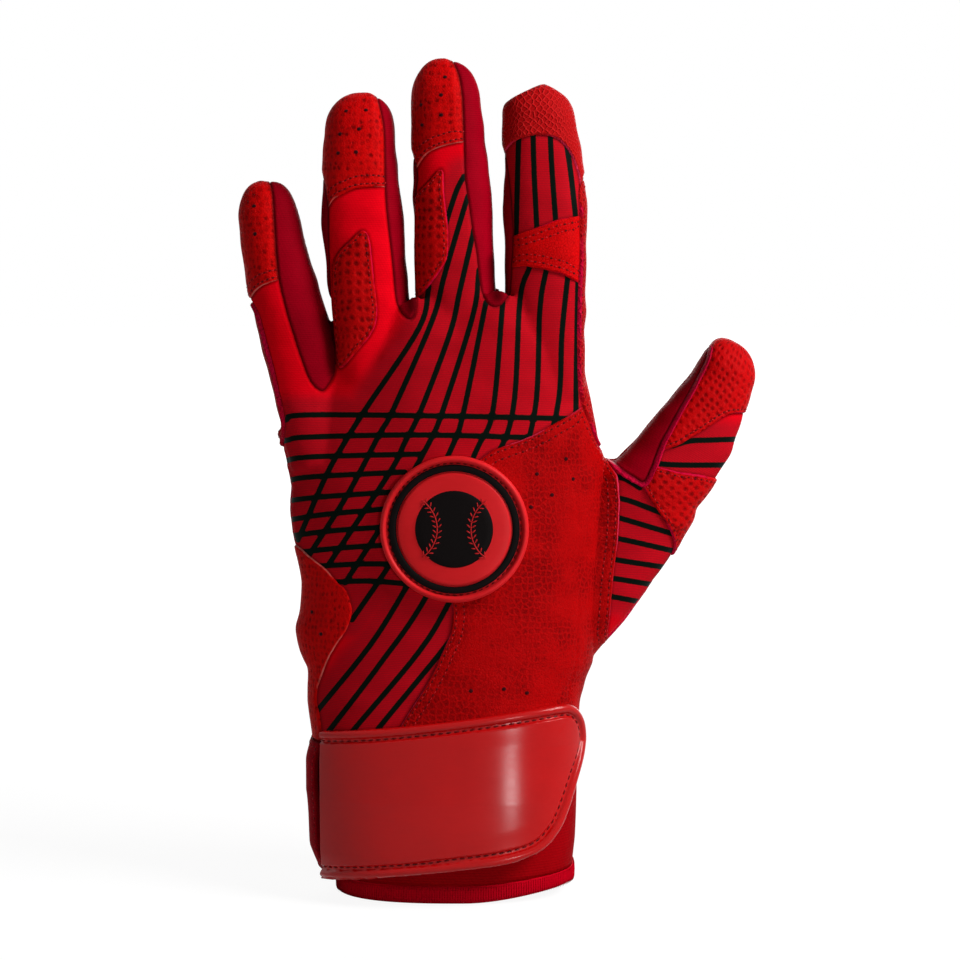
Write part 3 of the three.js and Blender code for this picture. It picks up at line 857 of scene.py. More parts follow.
GRIP_LEATHER = Leather(
    "grip_leather", "leather", linear(192, 4, 7), linear(110, 0, 2),
    Grain.DIMPLE, turn=12, loose=0.3, edge=PIPING, edge_width=0.5,
)
PATCH_LEATHER = Leather(
    "patch_leather", "leather", linear(194, 4, 6), linear(104, 0, 1),
    Grain.DIMPLE, pitch=2.5, loose=0.3, edge=PIPING,
)
NET_LEATHER = Leather(
    "net_leather", "leather", linear(190, 20, 22), linear(160, 0, 3), Grain.NET, pitch=1.4, turn=40, loose=0.6
)
STRAP_RUBBER = Rubber("strap_rubber", "rubber", linear(190, 10, 12), linear(176, 6, 8), 0.21, 0.18)
BADGE_RUBBER = Rubber("badge_rubber", "rubber", linear(222, 32, 38), linear(206, 25, 30), 0.42, 0.1)
DARK_RUBBER = Rubber("badge_black", "dark_rubber", linear(14, 9, 9), linear(8, 5, 5), 0.55, 0.04)
TAPE = Pile("hook_pile", "hook_tape", linear(112, 16, 22), linear(58, 4, 8))
# Thread paler than the leather: partly its own colour, partly painted glints.
THREAD = Thread("sewing_thread", "leather", linear(206, 44, 50), linear(166, 6, 16))
# Painted shade: dark beads that stand for the shadow in the needle holes.
NEEDLE_HOLE = Thread("needle_hole", "leather", linear(112, 0, 5), linear(80, 0, 2), rough=0.8)
GROOVE_THREAD = Thread("groove_thread", "rubber", linear(112, 4, 8), linear(64, 2, 4))
# Painted shade: dark beads on the leather that stand for the shadow inside the punched holes.
HOLE = Thread("punched_hole", "leather", linear(62, 0, 6), linear(30, 0, 3), rough=0.9)
SEAM_RED = Thread("ball_seam", "rubber", linear(190, 30, 32), linear(166, 22, 26), rough=0.45)


@dataclass(frozen=True)
class PhotoView:
    """Where the camera stands, and how the glove looks from there."""

    target: Triple = (6.7, -8.0, 117.6)
    distance: float = 700.0
    elevation: float = 5.0
    focal: float = 2500.0
    frame: float = 960.0

    @property
    def point(self) -> float:
        """The size of a picture point on the glove."""
        return self.distance / self.focal

    def axes(self) -> Array:
        """The camera's right, up and forward directions."""
        rise, run = math.sin(math.radians(self.elevation)), math.cos(math.radians(self.elevation))
        return np.array([(1, 0, 0), (0, rise, run), (0, run, -rise)])

    def eye(self) -> Array:
        """Where the camera is."""
        return np.asarray(self.target) - self.distance * self.axes()[2]

    def flat(self, points: Array) -> Array:
        """Gives the picture places of points in space."""
        right, up, deep = ((points - self.eye()) @ self.axes().T).T
        return np.stack([self.focal * right / deep, -self.focal * up / deep], axis=1) + self.frame / 2

    def ray(self, place: Pair) -> Array:
        """The direction from the camera through a picture place."""
        half = self.frame / 2
        return unit(np.array([place[0] - half, half - place[1], self.focal]) @ self.axes())


VIEW = PhotoView()


@dataclass(frozen=True)
class Digit:
    """A finger or the thumb: its form, its own frame, and the zones in which its joints bend."""

    name: str
    base: Pair
    depth: float
    lean: float
    bow: float
    length: float
    curl: float
    tip: float
    half_widths: Triple
    half_depths: Triple
    palm_seam: float
    base_zone: Pair
    tip_zone: Pair
    root: tuple[tuple[float, ...], ...] = ()

    @property
    def parting(self) -> float:
        """Where the digit's pieces below the middle joint end and those above it begin."""
        return (self.base_zone[1] + self.tip_zone[0]) / 2

    @property
    def origin(self) -> Array:
        """Where its own frame stands."""
        return np.array([self.base[0], 0, self.base[1]])

    @property
    def girth(self) -> Pair:
        """Its half width and half depth below its middle joint."""
        wide, _, thick, _ = self.reaches(0.3)
        return wide, thick

    def axes(self) -> Array:
        """Its directions across, deep and along."""
        rise, run = math.cos(math.radians(self.lean)), math.sin(math.radians(self.lean))
        return np.array([(rise, 0, -run), (0, 1, 0), (run, 0, rise)])

    def middle(self, along: Array) -> tuple[Array, Array]:
        """Its middle line, across and deep."""
        share = np.clip(along / self.length, 0, 1)
        return self.bow * np.sin(math.pi * share), self.depth + self.curl * share**2

    def local(self, points: Array) -> tuple[Array, Array, Array]:
        """Points' places across and deep from the middle line, and along it."""
        across, deep, along = ((points - self.origin) @ self.axes().T).T
        return across - self.middle(along)[0], deep - self.middle(along)[1], along

    def closeness(self, across: Array, deep: Array) -> Array:
        """How far places are from the middle line, where 1 is about on the surface."""
        wide, thick = self.girth
        return np.hypot(across / wide, deep / thick)

    def on_axis(self, along: float) -> Triple:
        """The place in metres on its straight axis."""
        return tuple(float(value) * MM for value in self.origin + along * self.axes()[2])

    def reaches(self, share: float) -> tuple[float, float, float, float]:
        """Its half sizes to -X, +X, -Y and +Y at a share of its length below the tip."""
        wide, thick = (float(np.interp(share, (0, 0.5, 1), h)) for h in (self.half_widths, self.half_depths))
        return wide, wide, thick, thick

    def tube(self) -> Sheet:
        """Lofts its form, from inside the hand to its rounded tip.

        Returns:
            The closed form.
        """
        around, rows, tip_rows, foot = 60, 22, 10, -30
        start = self.length - self.tip
        places = list(self.root or ((foot, *self.reaches(0)),))
        for along in np.linspace(0, start, rows, endpoint=False):
            places.append((along, *self.reaches(along / start)))
        for turn in np.linspace(0, math.pi / 2, tip_rows, endpoint=False):
            shrink = math.cos(turn) ** SECTION_POWER
            places.append((start + self.tip * math.sin(turn), *(shrink * r for r in self.reaches(1))))
        rings = []
        for along, *reaches in places:
            x, y = section(round_angles(around), reaches)
            mx, my = self.middle(np.float64(along))
            rings.append(np.stack([x + mx, y + my, np.full(around, along)], 1) @ self.axes())
        sheet = loft(np.array(rings))
        sheet.points = sheet.points + self.origin
        return sheet


PINKY = Digit(
    "pinky", base=(-43.1, 151.2), depth=-1.5, lean=-12.4, bow=-0.9, length=50.6, curl=5, tip=10,
    palm_seam=3.2, half_widths=(10.3, 9.4, 8.0), half_depths=(8.6, 8.4, 7.4), base_zone=(-6, 6),
    tip_zone=(13, 25),
)
RING = Digit(
    "ring", base=(-23.8, 166.6), depth=-2.4, lean=-2.7, bow=-1.3, length=58.4, curl=6, tip=11, palm_seam=3.6,
    half_widths=(10.9, 11.6, 9.5), half_depths=(9.6, 9.2, 8), base_zone=(1.5, 11.5), tip_zone=(18.4, 30.4),
)
MIDDLE = Digit(
    "middle", base=(0.1, 170.8), depth=-2.6, lean=-2.9, bow=0.3, length=63.8, curl=7, tip=12, palm_seam=3.6,
    half_widths=(11, 11.1, 9.4), half_depths=(9.8, 9.4, 8.2), base_zone=(-2.4, 9.4), tip_zone=(21, 33),
)
INDEX = Digit(
    "index", base=(25.0, 170.8), depth=-2.4, lean=-3.2, bow=1.1, length=57, curl=6, tip=9.5, palm_seam=3.6,
    half_widths=(11.4, 11.9, 9.3), half_depths=(9.8, 9.4, 8.2), base_zone=(-2.4, 9.4), tip_zone=(18, 30),
    root=((-30, 11.4, 9.4, 9.8, 9.8), (-14, 11.4, 10.2, 9.8, 9.8), (-6, 11.4, 11, 9.8, 9.8)),
)
THUMB = Digit(
    "thumb", base=(56.3, 115.6), depth=4, lean=30.2, bow=3.0, length=45.6, curl=4, tip=8.5, palm_seam=4,
    half_widths=(12.8, 11.8, 8.1), half_depths=(11.6, 10.4, 8.6), base_zone=(2, 8), tip_zone=(9, 21),
    root=(
        (-66, 6, 5, 5, 6), (-54, 12, 8.6, 9.4, 10.6), (-38, 17.6, 12.1, 11.6, 13),
        (-16, 18.6, 14.3, 12, 12.6), (-2.5, 17.5, 13.7, 11.7, 11.8),
    ),
)
FINGERS = (PINKY, RING, MIDDLE, INDEX)
DIGITS = (*FINGERS, THUMB)
OFF_DIGIT = -9.0
DIGIT_REACH = 1.75
BELOW_ROOT = 14


def joint_marks(points: Array) -> dict[str, Array]:
    """Tells where points lie on the digits.

    Args:
        points: Places on the glove.

    Returns:
        For each digit, how far each point is above its root and above its parting, or OFF_DIGIT.
    """
    reaches = []
    for digit in DIGITS:
        across, deep, along = digit.local(points)
        reach = digit.closeness(across, deep)
        near = (reach < DIGIT_REACH) & (along > digit.base_zone[0] - BELOW_ROOT)
        reaches.append(np.where(near, reach, np.inf))
    nearest = np.argmin(reaches, axis=0)
    marks = {}
    for i, digit in enumerate(DIGITS):
        mine = (nearest == i) & np.isfinite(reaches[i])
        along = digit.local(points)[2]
        marks[f"{digit.name}_root"] = np.where(mine, along - digit.base_zone[0], OFF_DIGIT)
        marks[f"{digit.name}_mid"] = np.where(mine, along - digit.parting, OFF_DIGIT)
    return marks


@dataclass(frozen=True)
class WristForm:
    """The form of the wristband and of the hand above it."""

    hem_top: float = 5.6
    top: float = 44.0
    heights: tuple[float, ...] = (5.6, 14, 29, 44, 65)
    ulnar: tuple[float, ...] = (34, 38.2, 40.8, 40.8, 43)
    radial: tuple[float, ...] = (33.2, 33.8, 34.2, 34, 37.2)
    dorsal: tuple[float, ...] = (21.3, 22, 22, 21.5, 20.6)
    palmar: tuple[float, ...] = (21.3, 21.8, 22, 21.5, 21)

    def rings(self, grow: float, heights: Array, angles: Array) -> Array:
        """Rings round the wrist.

        Args:
            grow: How far outside the wristband they are.
            heights: A height for each ring.
            angles: Where on a ring its points are.

        Returns:
            The points, by ring and by angle.
        """
        sides = (self.ulnar, self.radial, self.dorsal, self.palmar)
        reaches = [np.interp(heights, self.heights, side)[:, None] + grow for side in sides]
        x, y = section(angles[None, :], reaches)
        return np.stack([x, y, np.broadcast_to(heights[:, None], x.shape)], -1)

    def ring(self, grow: float, height: float, angles: Array) -> Array:
        """One such ring."""
        return self.rings(grow, np.array([height]), angles)[0]

    def band(self, grow: float, span: Pair, arc: Pair, shape: tuple[int, int]) -> Sheet:
        """Lays an open sheet part of the way round the wrist.

        Args:
            grow: How far outside the wristband it is.
            span: The heights of its foot and its top.
            arc: The angles at its two ends, in degrees.
            shape: How many rows and columns of points it has.

        Returns:
            The sheet, facing outwards.
        """
        rows, columns = shape
        rings = self.rings(grow, np.linspace(*span, rows), np.radians(np.linspace(*arc, columns)))
        index = np.arange(rows * columns).reshape(shape)
        points = rings.reshape(-1, 3)
        faces = halved(index[:-1, :-1], index[:-1, 1:], index[1:, 1:], index[1:, :-1])
        return Sheet(points, faces, {"cloth": points[:, [0, 2, 1]]})


WRIST = WristForm()
CUFF_GAP = 0.3


@dataclass(frozen=True)
class Outline:
    """A panel's edge: a sewn line, and points beyond the panel that close it where nothing shows."""

    seam: Line
    beyond: Line = ()

    def ring(self) -> Array:
        """The closed outline."""
        line = curve(self.seam, closed=not self.beyond)
        return np.vstack([line, self.beyond]) if self.beyond else line

    def inside(self, sheet: Sheet) -> Array:
        """How far a sheet's points lie inside the outline, as the camera sees them."""
        return inside_distance(sheet["flat"], self.ring()) * VIEW.point


def round_run(across: Array, deep: Array, wide: float, thick: float) -> Array:
    """How much further round a rounded form a place lies than straight across it."""
    turn = smoothstep(0.35, 0.85, np.abs(across) / wide)
    return np.sign(across) * turn * np.clip(thick - np.abs(deep), 0, None)


@dataclass
class Skin:
    """The glove's whole outer surface, before its panels are cut out of it."""

    voxel: float = 0.72
    passes: int = 26
    keep: float = 0.52
    foot: float = 36.0
    palm_seam: float = 1.5
    half_width: float = 42
    half_depth: float = 17
    ulnar: Line = (
        (0, 40.4), (0.1, 41.9), (0.2, 41.6), (0.27, 44.8), (0.33, 45.4), (0.4, 43.6), (0.47, 43.2),
        (0.55, 44.6), (0.63, 46.4), (0.7, 47.2), (0.77, 46.8), (0.88, 48.3), (0.95, 49.6), (1, 51),
    )
    radial: Line = (
        (0, 33.6), (0.1, 34.4), (0.15, 35.8), (0.21, 38), (0.36, 39.2), (0.56, 40.8), (0.76, 41),
        (0.83, 40.2), (0.92, 37.6), (1, 35.4),
    )
    dorsal: Line = (
        (0, 21.5), (0.18, 20.6), (0.36, 19.6), (0.56, 18.2), (0.76, 16.8), (0.92, 14.6), (1, 11.6)
    )
    palmar: Line = (
        (0, 21.5), (0.18, 21), (0.36, 20), (0.56, 17.8), (0.76, 14.8), (0.92, 11), (1, 7)
    )
    knuckles: Line = (
        (-53, 128), (-44, 139), (-34.2, 147.6), (-23.6, 157), (-12.2, 170), (0.4, 166), (12.3, 171.6),
        (24.3, 164), (37, 150), (60, 128),
    )
    slope: float = 0.2
    roof: Triple = (2.7, 0.46, 0.72)

    def hand(self) -> Sheet:
        """Lofts the hand without its digits, from inside the wristband to the knuckles.

        Returns:
            The closed form.
        """
        angle = round_angles(120)
        rings = [WRIST.ring(0, self.foot, angle)]
        sides = (self.ulnar, self.radial, self.dorsal, self.palmar)
        for rise in np.linspace(0, 1, 40):
            x, y = section(angle, [np.interp(rise, *zip(*side)) for side in sides])
            y = np.where(y < 0, y * (1 - self.slope * min(1, 5 * rise) * np.clip(-x / 40, 0, 1) ** 1.5), y)
            top = np.interp(x, *zip(*self.knuckles))
            rings.append(np.stack([x, y, WRIST.top + CUFF_GAP + rise * (top - WRIST.top - CUFF_GAP)], 1))
        return loft(np.array(rings))

    def build(self) -> Sheet:
        """Joins the hand and its digits into one soft skin and names places on it.

        Returns:
            The skin.
        """
        parts = [self.hand(), *(digit.tube() for digit in DIGITS)]
        skin = self.remeshed(*joined([(part.points, part.faces) for part in parts]))
        skin.points = self.roofed(skin.smoothed(skin.points, self.passes, self.keep))
        skin.points = skin.points + skin.normals() * self.slack(skin.points)[:, None]
        self.mark(skin)
        LOG.info("skin: %d points", len(skin.points))
        return skin

    def remeshed(self, points: Array, faces: Array) -> Sheet:
        """Melts overlapping closed forms into one even mesh.

        Args:
            points: The forms' points.
            faces: Their faces.

        Returns:
            The one surface round them all.
        """
        blank = bpy.data.objects.new("skin", mesh_of("skin", points, faces))
        modifier = blank.modifiers.new("melt", "REMESH")
        modifier.mode = "VOXEL"
        modifier.voxel_size = self.voxel
        done = evaluated(blank)
        done.calc_loop_triangles()
        places = np.empty(len(done.vertices) * 3, np.float32)
        done.vertices.foreach_get("co", places)
        corners = np.empty(len(done.loop_triangles) * 3, np.int32)
        done.loop_triangles.foreach_get("vertices", corners)
        bpy.data.meshes.remove(done)
        return Sheet(places.reshape(-1, 3).astype(float), corners.reshape(-1, 3).astype(np.int64))

    def roofed(self, points: Array) -> Array:
        """Presses the index fingertip to its pointed, roof-like end.

        Args:
            points: The skin's points.

        Returns:
            The points in their new places.
        """
        ridge, left, right = self.roof
        across, _, along = INDEX.local(points)
        slope = np.where(across < ridge, left * (ridge - across), right * (across - ridge))
        over = along - (INDEX.length - slope)
        near = (np.abs(across) < 14) & (along > INDEX.length - 22)
        drop = np.where(near, 0.5 * (over + np.sqrt(over**2 + 1.5)), 0) * smoothstep(-8, -2, over)
        return points - drop[:, None] * INDEX.axes()[2]

    def slack(self, points: Array) -> Array:
        """Finds how far the skin stands in or out of its smooth form, in folds and creases.

        Args:
            points: The skin's points.

        Returns:
            A height for each point.
        """
        lift = 0.28 * ripple(points, 26, 3, (0.8, 0.8, 1.3)) + 0.12 * ripple(points, 11, 8, (0.7, 0.7, 1.4))
        for digit in FINGERS:
            across, deep, along = digit.local(points)
            near = smoothstep(16, 12, np.hypot(across, deep))
            joint = sum(digit.tip_zone) / 2
            palm = smoothstep(-2, 5, deep)
            lift -= near * palm * 0.7 * (bell(along, joint, 1.8) + bell(along, joint * 0.2, 2.0))
            lift += near * (1 - palm) * 0.25 * bell(along, joint, 6)
        x, y, z = points.T
        return lift + 0.5 * bell(z, 50, 3.2) * np.sin(x * 0.5) * smoothstep(-4, 4, y)

    def mark(self, skin: Sheet) -> None:
        """Names the places that seams and joints are cut by.

        Args:
            skin: The skin, which gets them as values.
        """
        points = skin.points
        skin["flat"] = VIEW.flat(points)
        skin["wrist"] = points[:, 2] - WRIST.top - CUFF_GAP
        skin.values.update(joint_marks(points))
        cloth = points[:, [0, 2, 1]]
        side = round_run(points[:, 0], points[:, 1], self.half_width, self.half_depth)
        seam = np.full(len(points), self.palm_seam)
        for digit in DIGITS:
            across, deep, along = digit.local(points)
            mine = skin[f"{digit.name}_root"] > OFF_DIGIT
            share = smoothstep(1.9, 1.5, digit.closeness(across, deep))
            if digit is THUMB:
                share = share * smoothstep(-45, -4, along)
                turned = mine & (skin["flat"] @ (1, 0.106) > 672)
                cloth[turned] = np.stack([np.arctan2(across, -deep) * 11, along, deep], 1)[turned]
            else:
                share = share * smoothstep(-16, 2, along) * mine
                side += share * (round_run(across, deep, *digit.girth) - side)
            seam += share * (digit.middle(along)[1] + digit.palm_seam - seam)
        cloth[~turned, 0] += side[~turned]
        skin["cloth"] = cloth
        skin["front"] = skin.smoothed(points[:, 1] - seam, 6)


PINKY_FOLD = Outline(
    (
        (247, 296), (254, 306), (259.7, 319), (268, 350), (273, 368), (278, 391), (282, 408), (284, 420),
        (284, 432), (283, 443), (281, 453), (266, 463),
    ),
    ((240, 463), (230, 320)),
)
INDEX_FOLD = Outline(
    (
        (596, 172), (586, 179), (580, 188), (580, 217), (580, 254), (579, 281), (578, 320), (578, 360),
        (579, 384), (583, 407), (590, 425), (598, 445), (612, 461),
    ),
    ((626, 450), (610, 380), (610, 172)),
)
PINKY_GAP = Outline(
    (
        (266, 174), (272, 191), (274, 218), (278, 274), (285, 307), (294, 337), (302, 361), (308, 377),
        (315, 387), (323, 391), (330, 383), (335, 370), (335, 345), (331, 310), (329, 270), (328, 230),
        (328, 208), (326, 190), (322, 172), (316, 150),
    ),
    ((300, 130),),
)
RING_GAP = Outline(
    (
        (372, 84), (379, 104), (384, 130), (385, 170), (386, 200), (388, 222), (391, 247), (393, 266),
        (396, 296), (399, 309), (404, 316), (411, 319), (415, 311), (416, 290), (415, 250), (415, 200),
        (417, 176), (414, 158), (408, 142),
    ),
    ((400, 100), (390, 60)),
)
MIDDLE_GAP = Outline(
    (
        (446, 50), (453, 62), (459, 76), (462, 94), (463, 111), (464, 140), (465, 177), (469, 204),
        (473, 233), (477, 254), (480, 281), (484, 298), (491, 306), (499, 306), (505, 301), (509, 294),
        (511, 272), (513, 251), (513, 230), (511, 201), (508, 174), (505, 155), (501, 146), (496, 138),
    ),
    ((488, 60), (470, 40)),
)
THUMB_GAP = Outline(
    (
        (714, 334), (709, 347), (706, 360), (699, 374), (690, 391), (679, 410), (668, 430), (661, 443),
        (656, 456), (651, 469), (644, 482), (634, 477), (623, 470), (610, 459),
    ),
    ((615, 440), (640, 370), (690, 320)),
)
GAPS = (PINKY_GAP, RING_GAP, MIDDLE_GAP, THUMB_GAP)
FAN_LINES = (
    ((429, 286), (419, 328), (365, 410), (345, 442), (326, 476), (298, 540)),
    ((468, 196), (460, 222), (444, 277), (432, 321), (393, 410), (379, 435), (349, 492), (310, 554)),
    ((474, 230), (460, 290), (450, 333), (421, 410), (404, 444), (390, 472), (329, 564)),
    ((479, 270), (473, 315), (443, 410), (430, 441), (404, 488), (381, 527), (345, 583)),
    ((486, 302), (464, 410), (452, 447), (420, 510), (390, 564), (352, 620)),
    ((503, 300), (493, 410), (477, 449), (440, 530), (406, 588), (371, 644), (318, 710)),
    ((530, 266), (520, 300), (513, 410), (490, 470), (426, 597), (380, 664), (332, 727), (322, 740)),
    ((547, 266), (540, 308), (535, 410), (512, 480), (450, 601), (418, 653), (356, 727), (346, 740)),
    ((568, 274), (562, 333), (557, 410), (530, 490), (470, 610), (445, 647), (382, 724), (372, 738)),
    ((578, 278), (577, 330), (576, 400), (576, 422)),
    ((464, 176), (456, 192), (445, 226)),
)
LEVEL_LINES = (
    ((276, 424), (286, 420), (305, 415), (440, 416), (585, 419)),
    ((276, 444), (288, 440), (310, 437), (420, 435), (545, 438)),
    ((282, 462), (310, 457), (420, 454)),
    ((284, 482), (310, 477), (405, 472)),
    ((286, 501), (320, 497), (392, 492)),
    ((284, 521), (320, 515), (384, 509)),
    ((290, 536), (330, 531), (384, 527)),
    ((302, 552), (340, 548), (386, 545)),
    ((320, 566), (360, 564), (394, 564)),
    ((336, 582), (370, 581), (410, 584)),
)
INDEX_LINES = (
    ((519, 130), (518, 160), (516, 236)),
    ((533, 130), (534, 170), (537, 232)),
    ((550, 130), (552, 170), (556, 225)),
    ((566, 140), (571, 175), (576, 220)),
)
WEB_LINES = (
    ((612, 476), (625, 479), (640, 488)),
    ((612, 497), (630, 501), (664, 514)),
    ((612, 516), (630, 521), (680, 536)),
    ((608, 537), (630, 541), (682, 553)),
    ((606, 558), (630, 562), (676, 569)),
    ((604, 577), (630, 581), (660, 586)),
    ((602, 595), (625, 599), (650, 604)),
)
THUMB_LINES = (((672, 446), (690, 441), (712, 440), (745, 439)), ((650, 463), (680, 465), (735, 465)))
PRINTED_LINES = (*FAN_LINES, *LEVEL_LINES, *INDEX_LINES, *WEB_LINES, *THUMB_LINES)


@dataclass(frozen=True)
class Segment:
    """A length of the glove that is made as pieces of its own: the hand, or a digit below or above its
    parting.
    """

    digit: Digit | None = None
    upper: bool = False

    @property
    def part(self) -> str:
        """The hand, or the low or up part of a digit."""
        return "hand" if self.digit is None else "up" if self.upper else "low"

    @property
    def name(self) -> str:
        """The segment's name."""
        return f"{self.digit.name}_{self.part}" if self.digit else self.part

    def attach(self, piece: Object) -> None:
        """Makes a piece follow the hand, or, on a digit, only bakes its place into its mesh.

        Args:
            piece: The piece.
        """
        if self.digit is None:
            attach(piece, "hand")
            return
        name = self.digit.name
        zone = self.digit.tip_zone if self.upper else self.digit.base_zone
        self.digit.on_axis(zone[0])
        self.digit.on_axis(zone[1])
        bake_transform(piece)

    def holds(self, values: dict[str, Array]) -> Array:
        """Tells which points or faces lie in the segment.

        Args:
            values: Their joint marks.

        Returns:
            True for each that does.
        """
        if self.digit is None:
            return np.all([values[f"{digit.name}_root"] <= 0 for digit in DIGITS], axis=0)
        above = values[f"{self.digit.name}_mid"] > 0
        return above if self.upper else (values[f"{self.digit.name}_root"] > 0) & ~above


SEGMENTS = (Segment(), *(Segment(digit, upper) for digit in DIGITS for upper in (False, True)))


def spaced(line: Array, pitch: float, phase: float = 0.5) -> Array:
    """Sets places along a line.

    Args:
        line: Rows of a place and an outward direction.
        pitch: How far apart the places are.
        phase: Where the first place is, as a share of the pitch.

    Returns:
        Rows of a place, its outward direction and the line's direction there.
    """
    run = np.concatenate([[0], np.cumsum(np.linalg.norm(np.diff(line[:, :3], axis=0), axis=1))])
    if run[-1] < pitch:
        return np.zeros((0, 9))
    at = np.arange(pitch * phase, run[-1], pitch)

    def read(offset: float) -> Array:
        """The line's rows a little further on."""
        return np.stack([np.interp(at + offset, run, column) for column in line.T], 1)

    along = unit(read(0.5 * pitch)[:, :3] - read(-0.5 * pitch)[:, :3])
    return np.hstack([read(0), along])


def mesh_of(name: str, points: Array, faces: Array, normals: Array | None = None) -> Mesh:
    """Makes a mesh of triangles.

    Args:
        name: The mesh's name.
        points: Its points.
        faces: Three points for each face.
        normals: A direction for each corner of each face, where they aren't the faces' own.

    Returns:
        The mesh, shaded smooth.
    """
    mesh = bpy.data.meshes.new(name)
    mesh.from_pydata(points.tolist(), [], faces.tolist(), shade_flat=False)
    if normals is not None:
        mesh.normals_split_custom_set(normals.astype(np.float32))
    return mesh


def keep_values(mesh: Mesh, values: dict[str, Array]) -> None:
    """Keeps named values at a mesh's points.

    Args:
        mesh: The mesh.
        values: A number or a vector for each point, by name.
    """
    for name, value in values.items():
        kind, key = ("FLOAT_VECTOR", "vector") if value.ndim > 1 else ("FLOAT", "value")
        rows = np.ascontiguousarray(value, np.float32)
        mesh.attributes.new(name, kind, "POINT").data.foreach_set(key, rows.ravel())


def evaluated(holder: Object) -> Mesh:
    """Makes a plain mesh of an object's modifiers, and removes the object.

    Args:
        holder: The object, which isn't in the scene yet.

    Returns:
        The mesh.
    """
    bpy.context.scene.collection.objects.link(holder)
    done = bpy.data.meshes.new_from_object(holder.evaluated_get(bpy.context.evaluated_depsgraph_get()))
    seed = holder.data
    bpy.data.objects.remove(holder)
    bpy.data.meshes.remove(seed)
    return done


class Repeat(Tree):
    """A geometry tree that sets a small rounded bead on each of many points."""

    bead = {"Segments": 6, "Rings": 4, "Radius": 0.5}

    def __init__(self, name: str) -> None:
        """Builds the tree, with inputs for the bead's size and its material.

        Args:
            name: The tree's name.
        """
        super().__init__(bpy.data.node_groups.new(name, "GeometryNodeTree"))
        kinds = {"Geometry": "Geometry", "Size": "Vector", "Material": "Material"}
        self.inputs = {label: self.socket(label, kind, "INPUT") for label, kind in kinds.items()}
        self.socket("Geometry", "Geometry", "OUTPUT")
        given = self.node("NodeGroupInput").outputs
        bead = self.signal("GeometryNodeMeshUVSphere", None, self.bead)
        vector = {"data_type": "FLOAT_VECTOR"}
        along = self.signal("GeometryNodeInputNamedAttribute", vector, {"Name": "along"})
        out = self.signal("GeometryNodeInputNamedAttribute", vector, {"Name": "out"})
        axes = {"primary_axis": "Z", "secondary_axis": "X"}
        turn = self.signal("FunctionNodeAxesToRotation", axes, {"Primary Axis": out, "Secondary Axis": along})
        placing = {"Points": given["Geometry"], "Instance": bead, "Rotation": turn, "Scale": given["Size"]}
        placed = self.signal("GeometryNodeInstanceOnPoints", None, placing)
        real = self.signal("GeometryNodeRealizeInstances", None, {"Geometry": placed})
        smooth = self.signal("GeometryNodeSetShadeSmooth", None, {"Geometry": real})
        dressing = {"Geometry": smooth, "Material": given["Material"]}
        dressed = self.signal("GeometryNodeSetMaterial", None, dressing)
        self.node("NodeGroupOutput", None, {"Geometry": dressed})

    def socket(self, label: str, kind: str, way: str) -> str:
        """Adds an input or an output and gives its identifier."""
        sockets = self.tree.interface
        return sockets.new_socket(label, in_out=way, socket_type=f"NodeSocket{kind}").identifier

    def mesh(self, name: str, rows: Array, size: Triple, finish: Finish) -> Mesh:
        """Sets the beads.

        Args:
            name: The mesh's name.
            rows: A place, an outward direction and a direction along for each bead.
            size: The bead's length, width and height.
            finish: What it is made of.

        Returns:
            The beads as one plain mesh.
        """
        seed = bpy.data.meshes.new(f"{name}_points")
        seed.from_pydata((rows[:, :3] * MM).tolist(), [], [])
        keep_values(seed, {"out": rows[:, 3:6], "along": rows[:, 6:9]})
        holder = bpy.data.objects.new(f"{name}_points", seed)
        modifier = holder.modifiers.new("beads", "NODES")
        modifier.node_group = self.tree
        modifier[self.inputs["Size"]] = [value * MM for value in size]
        modifier[self.inputs["Material"]] = finish.material()
        done = evaluated(holder)
        done.name = name
        return done


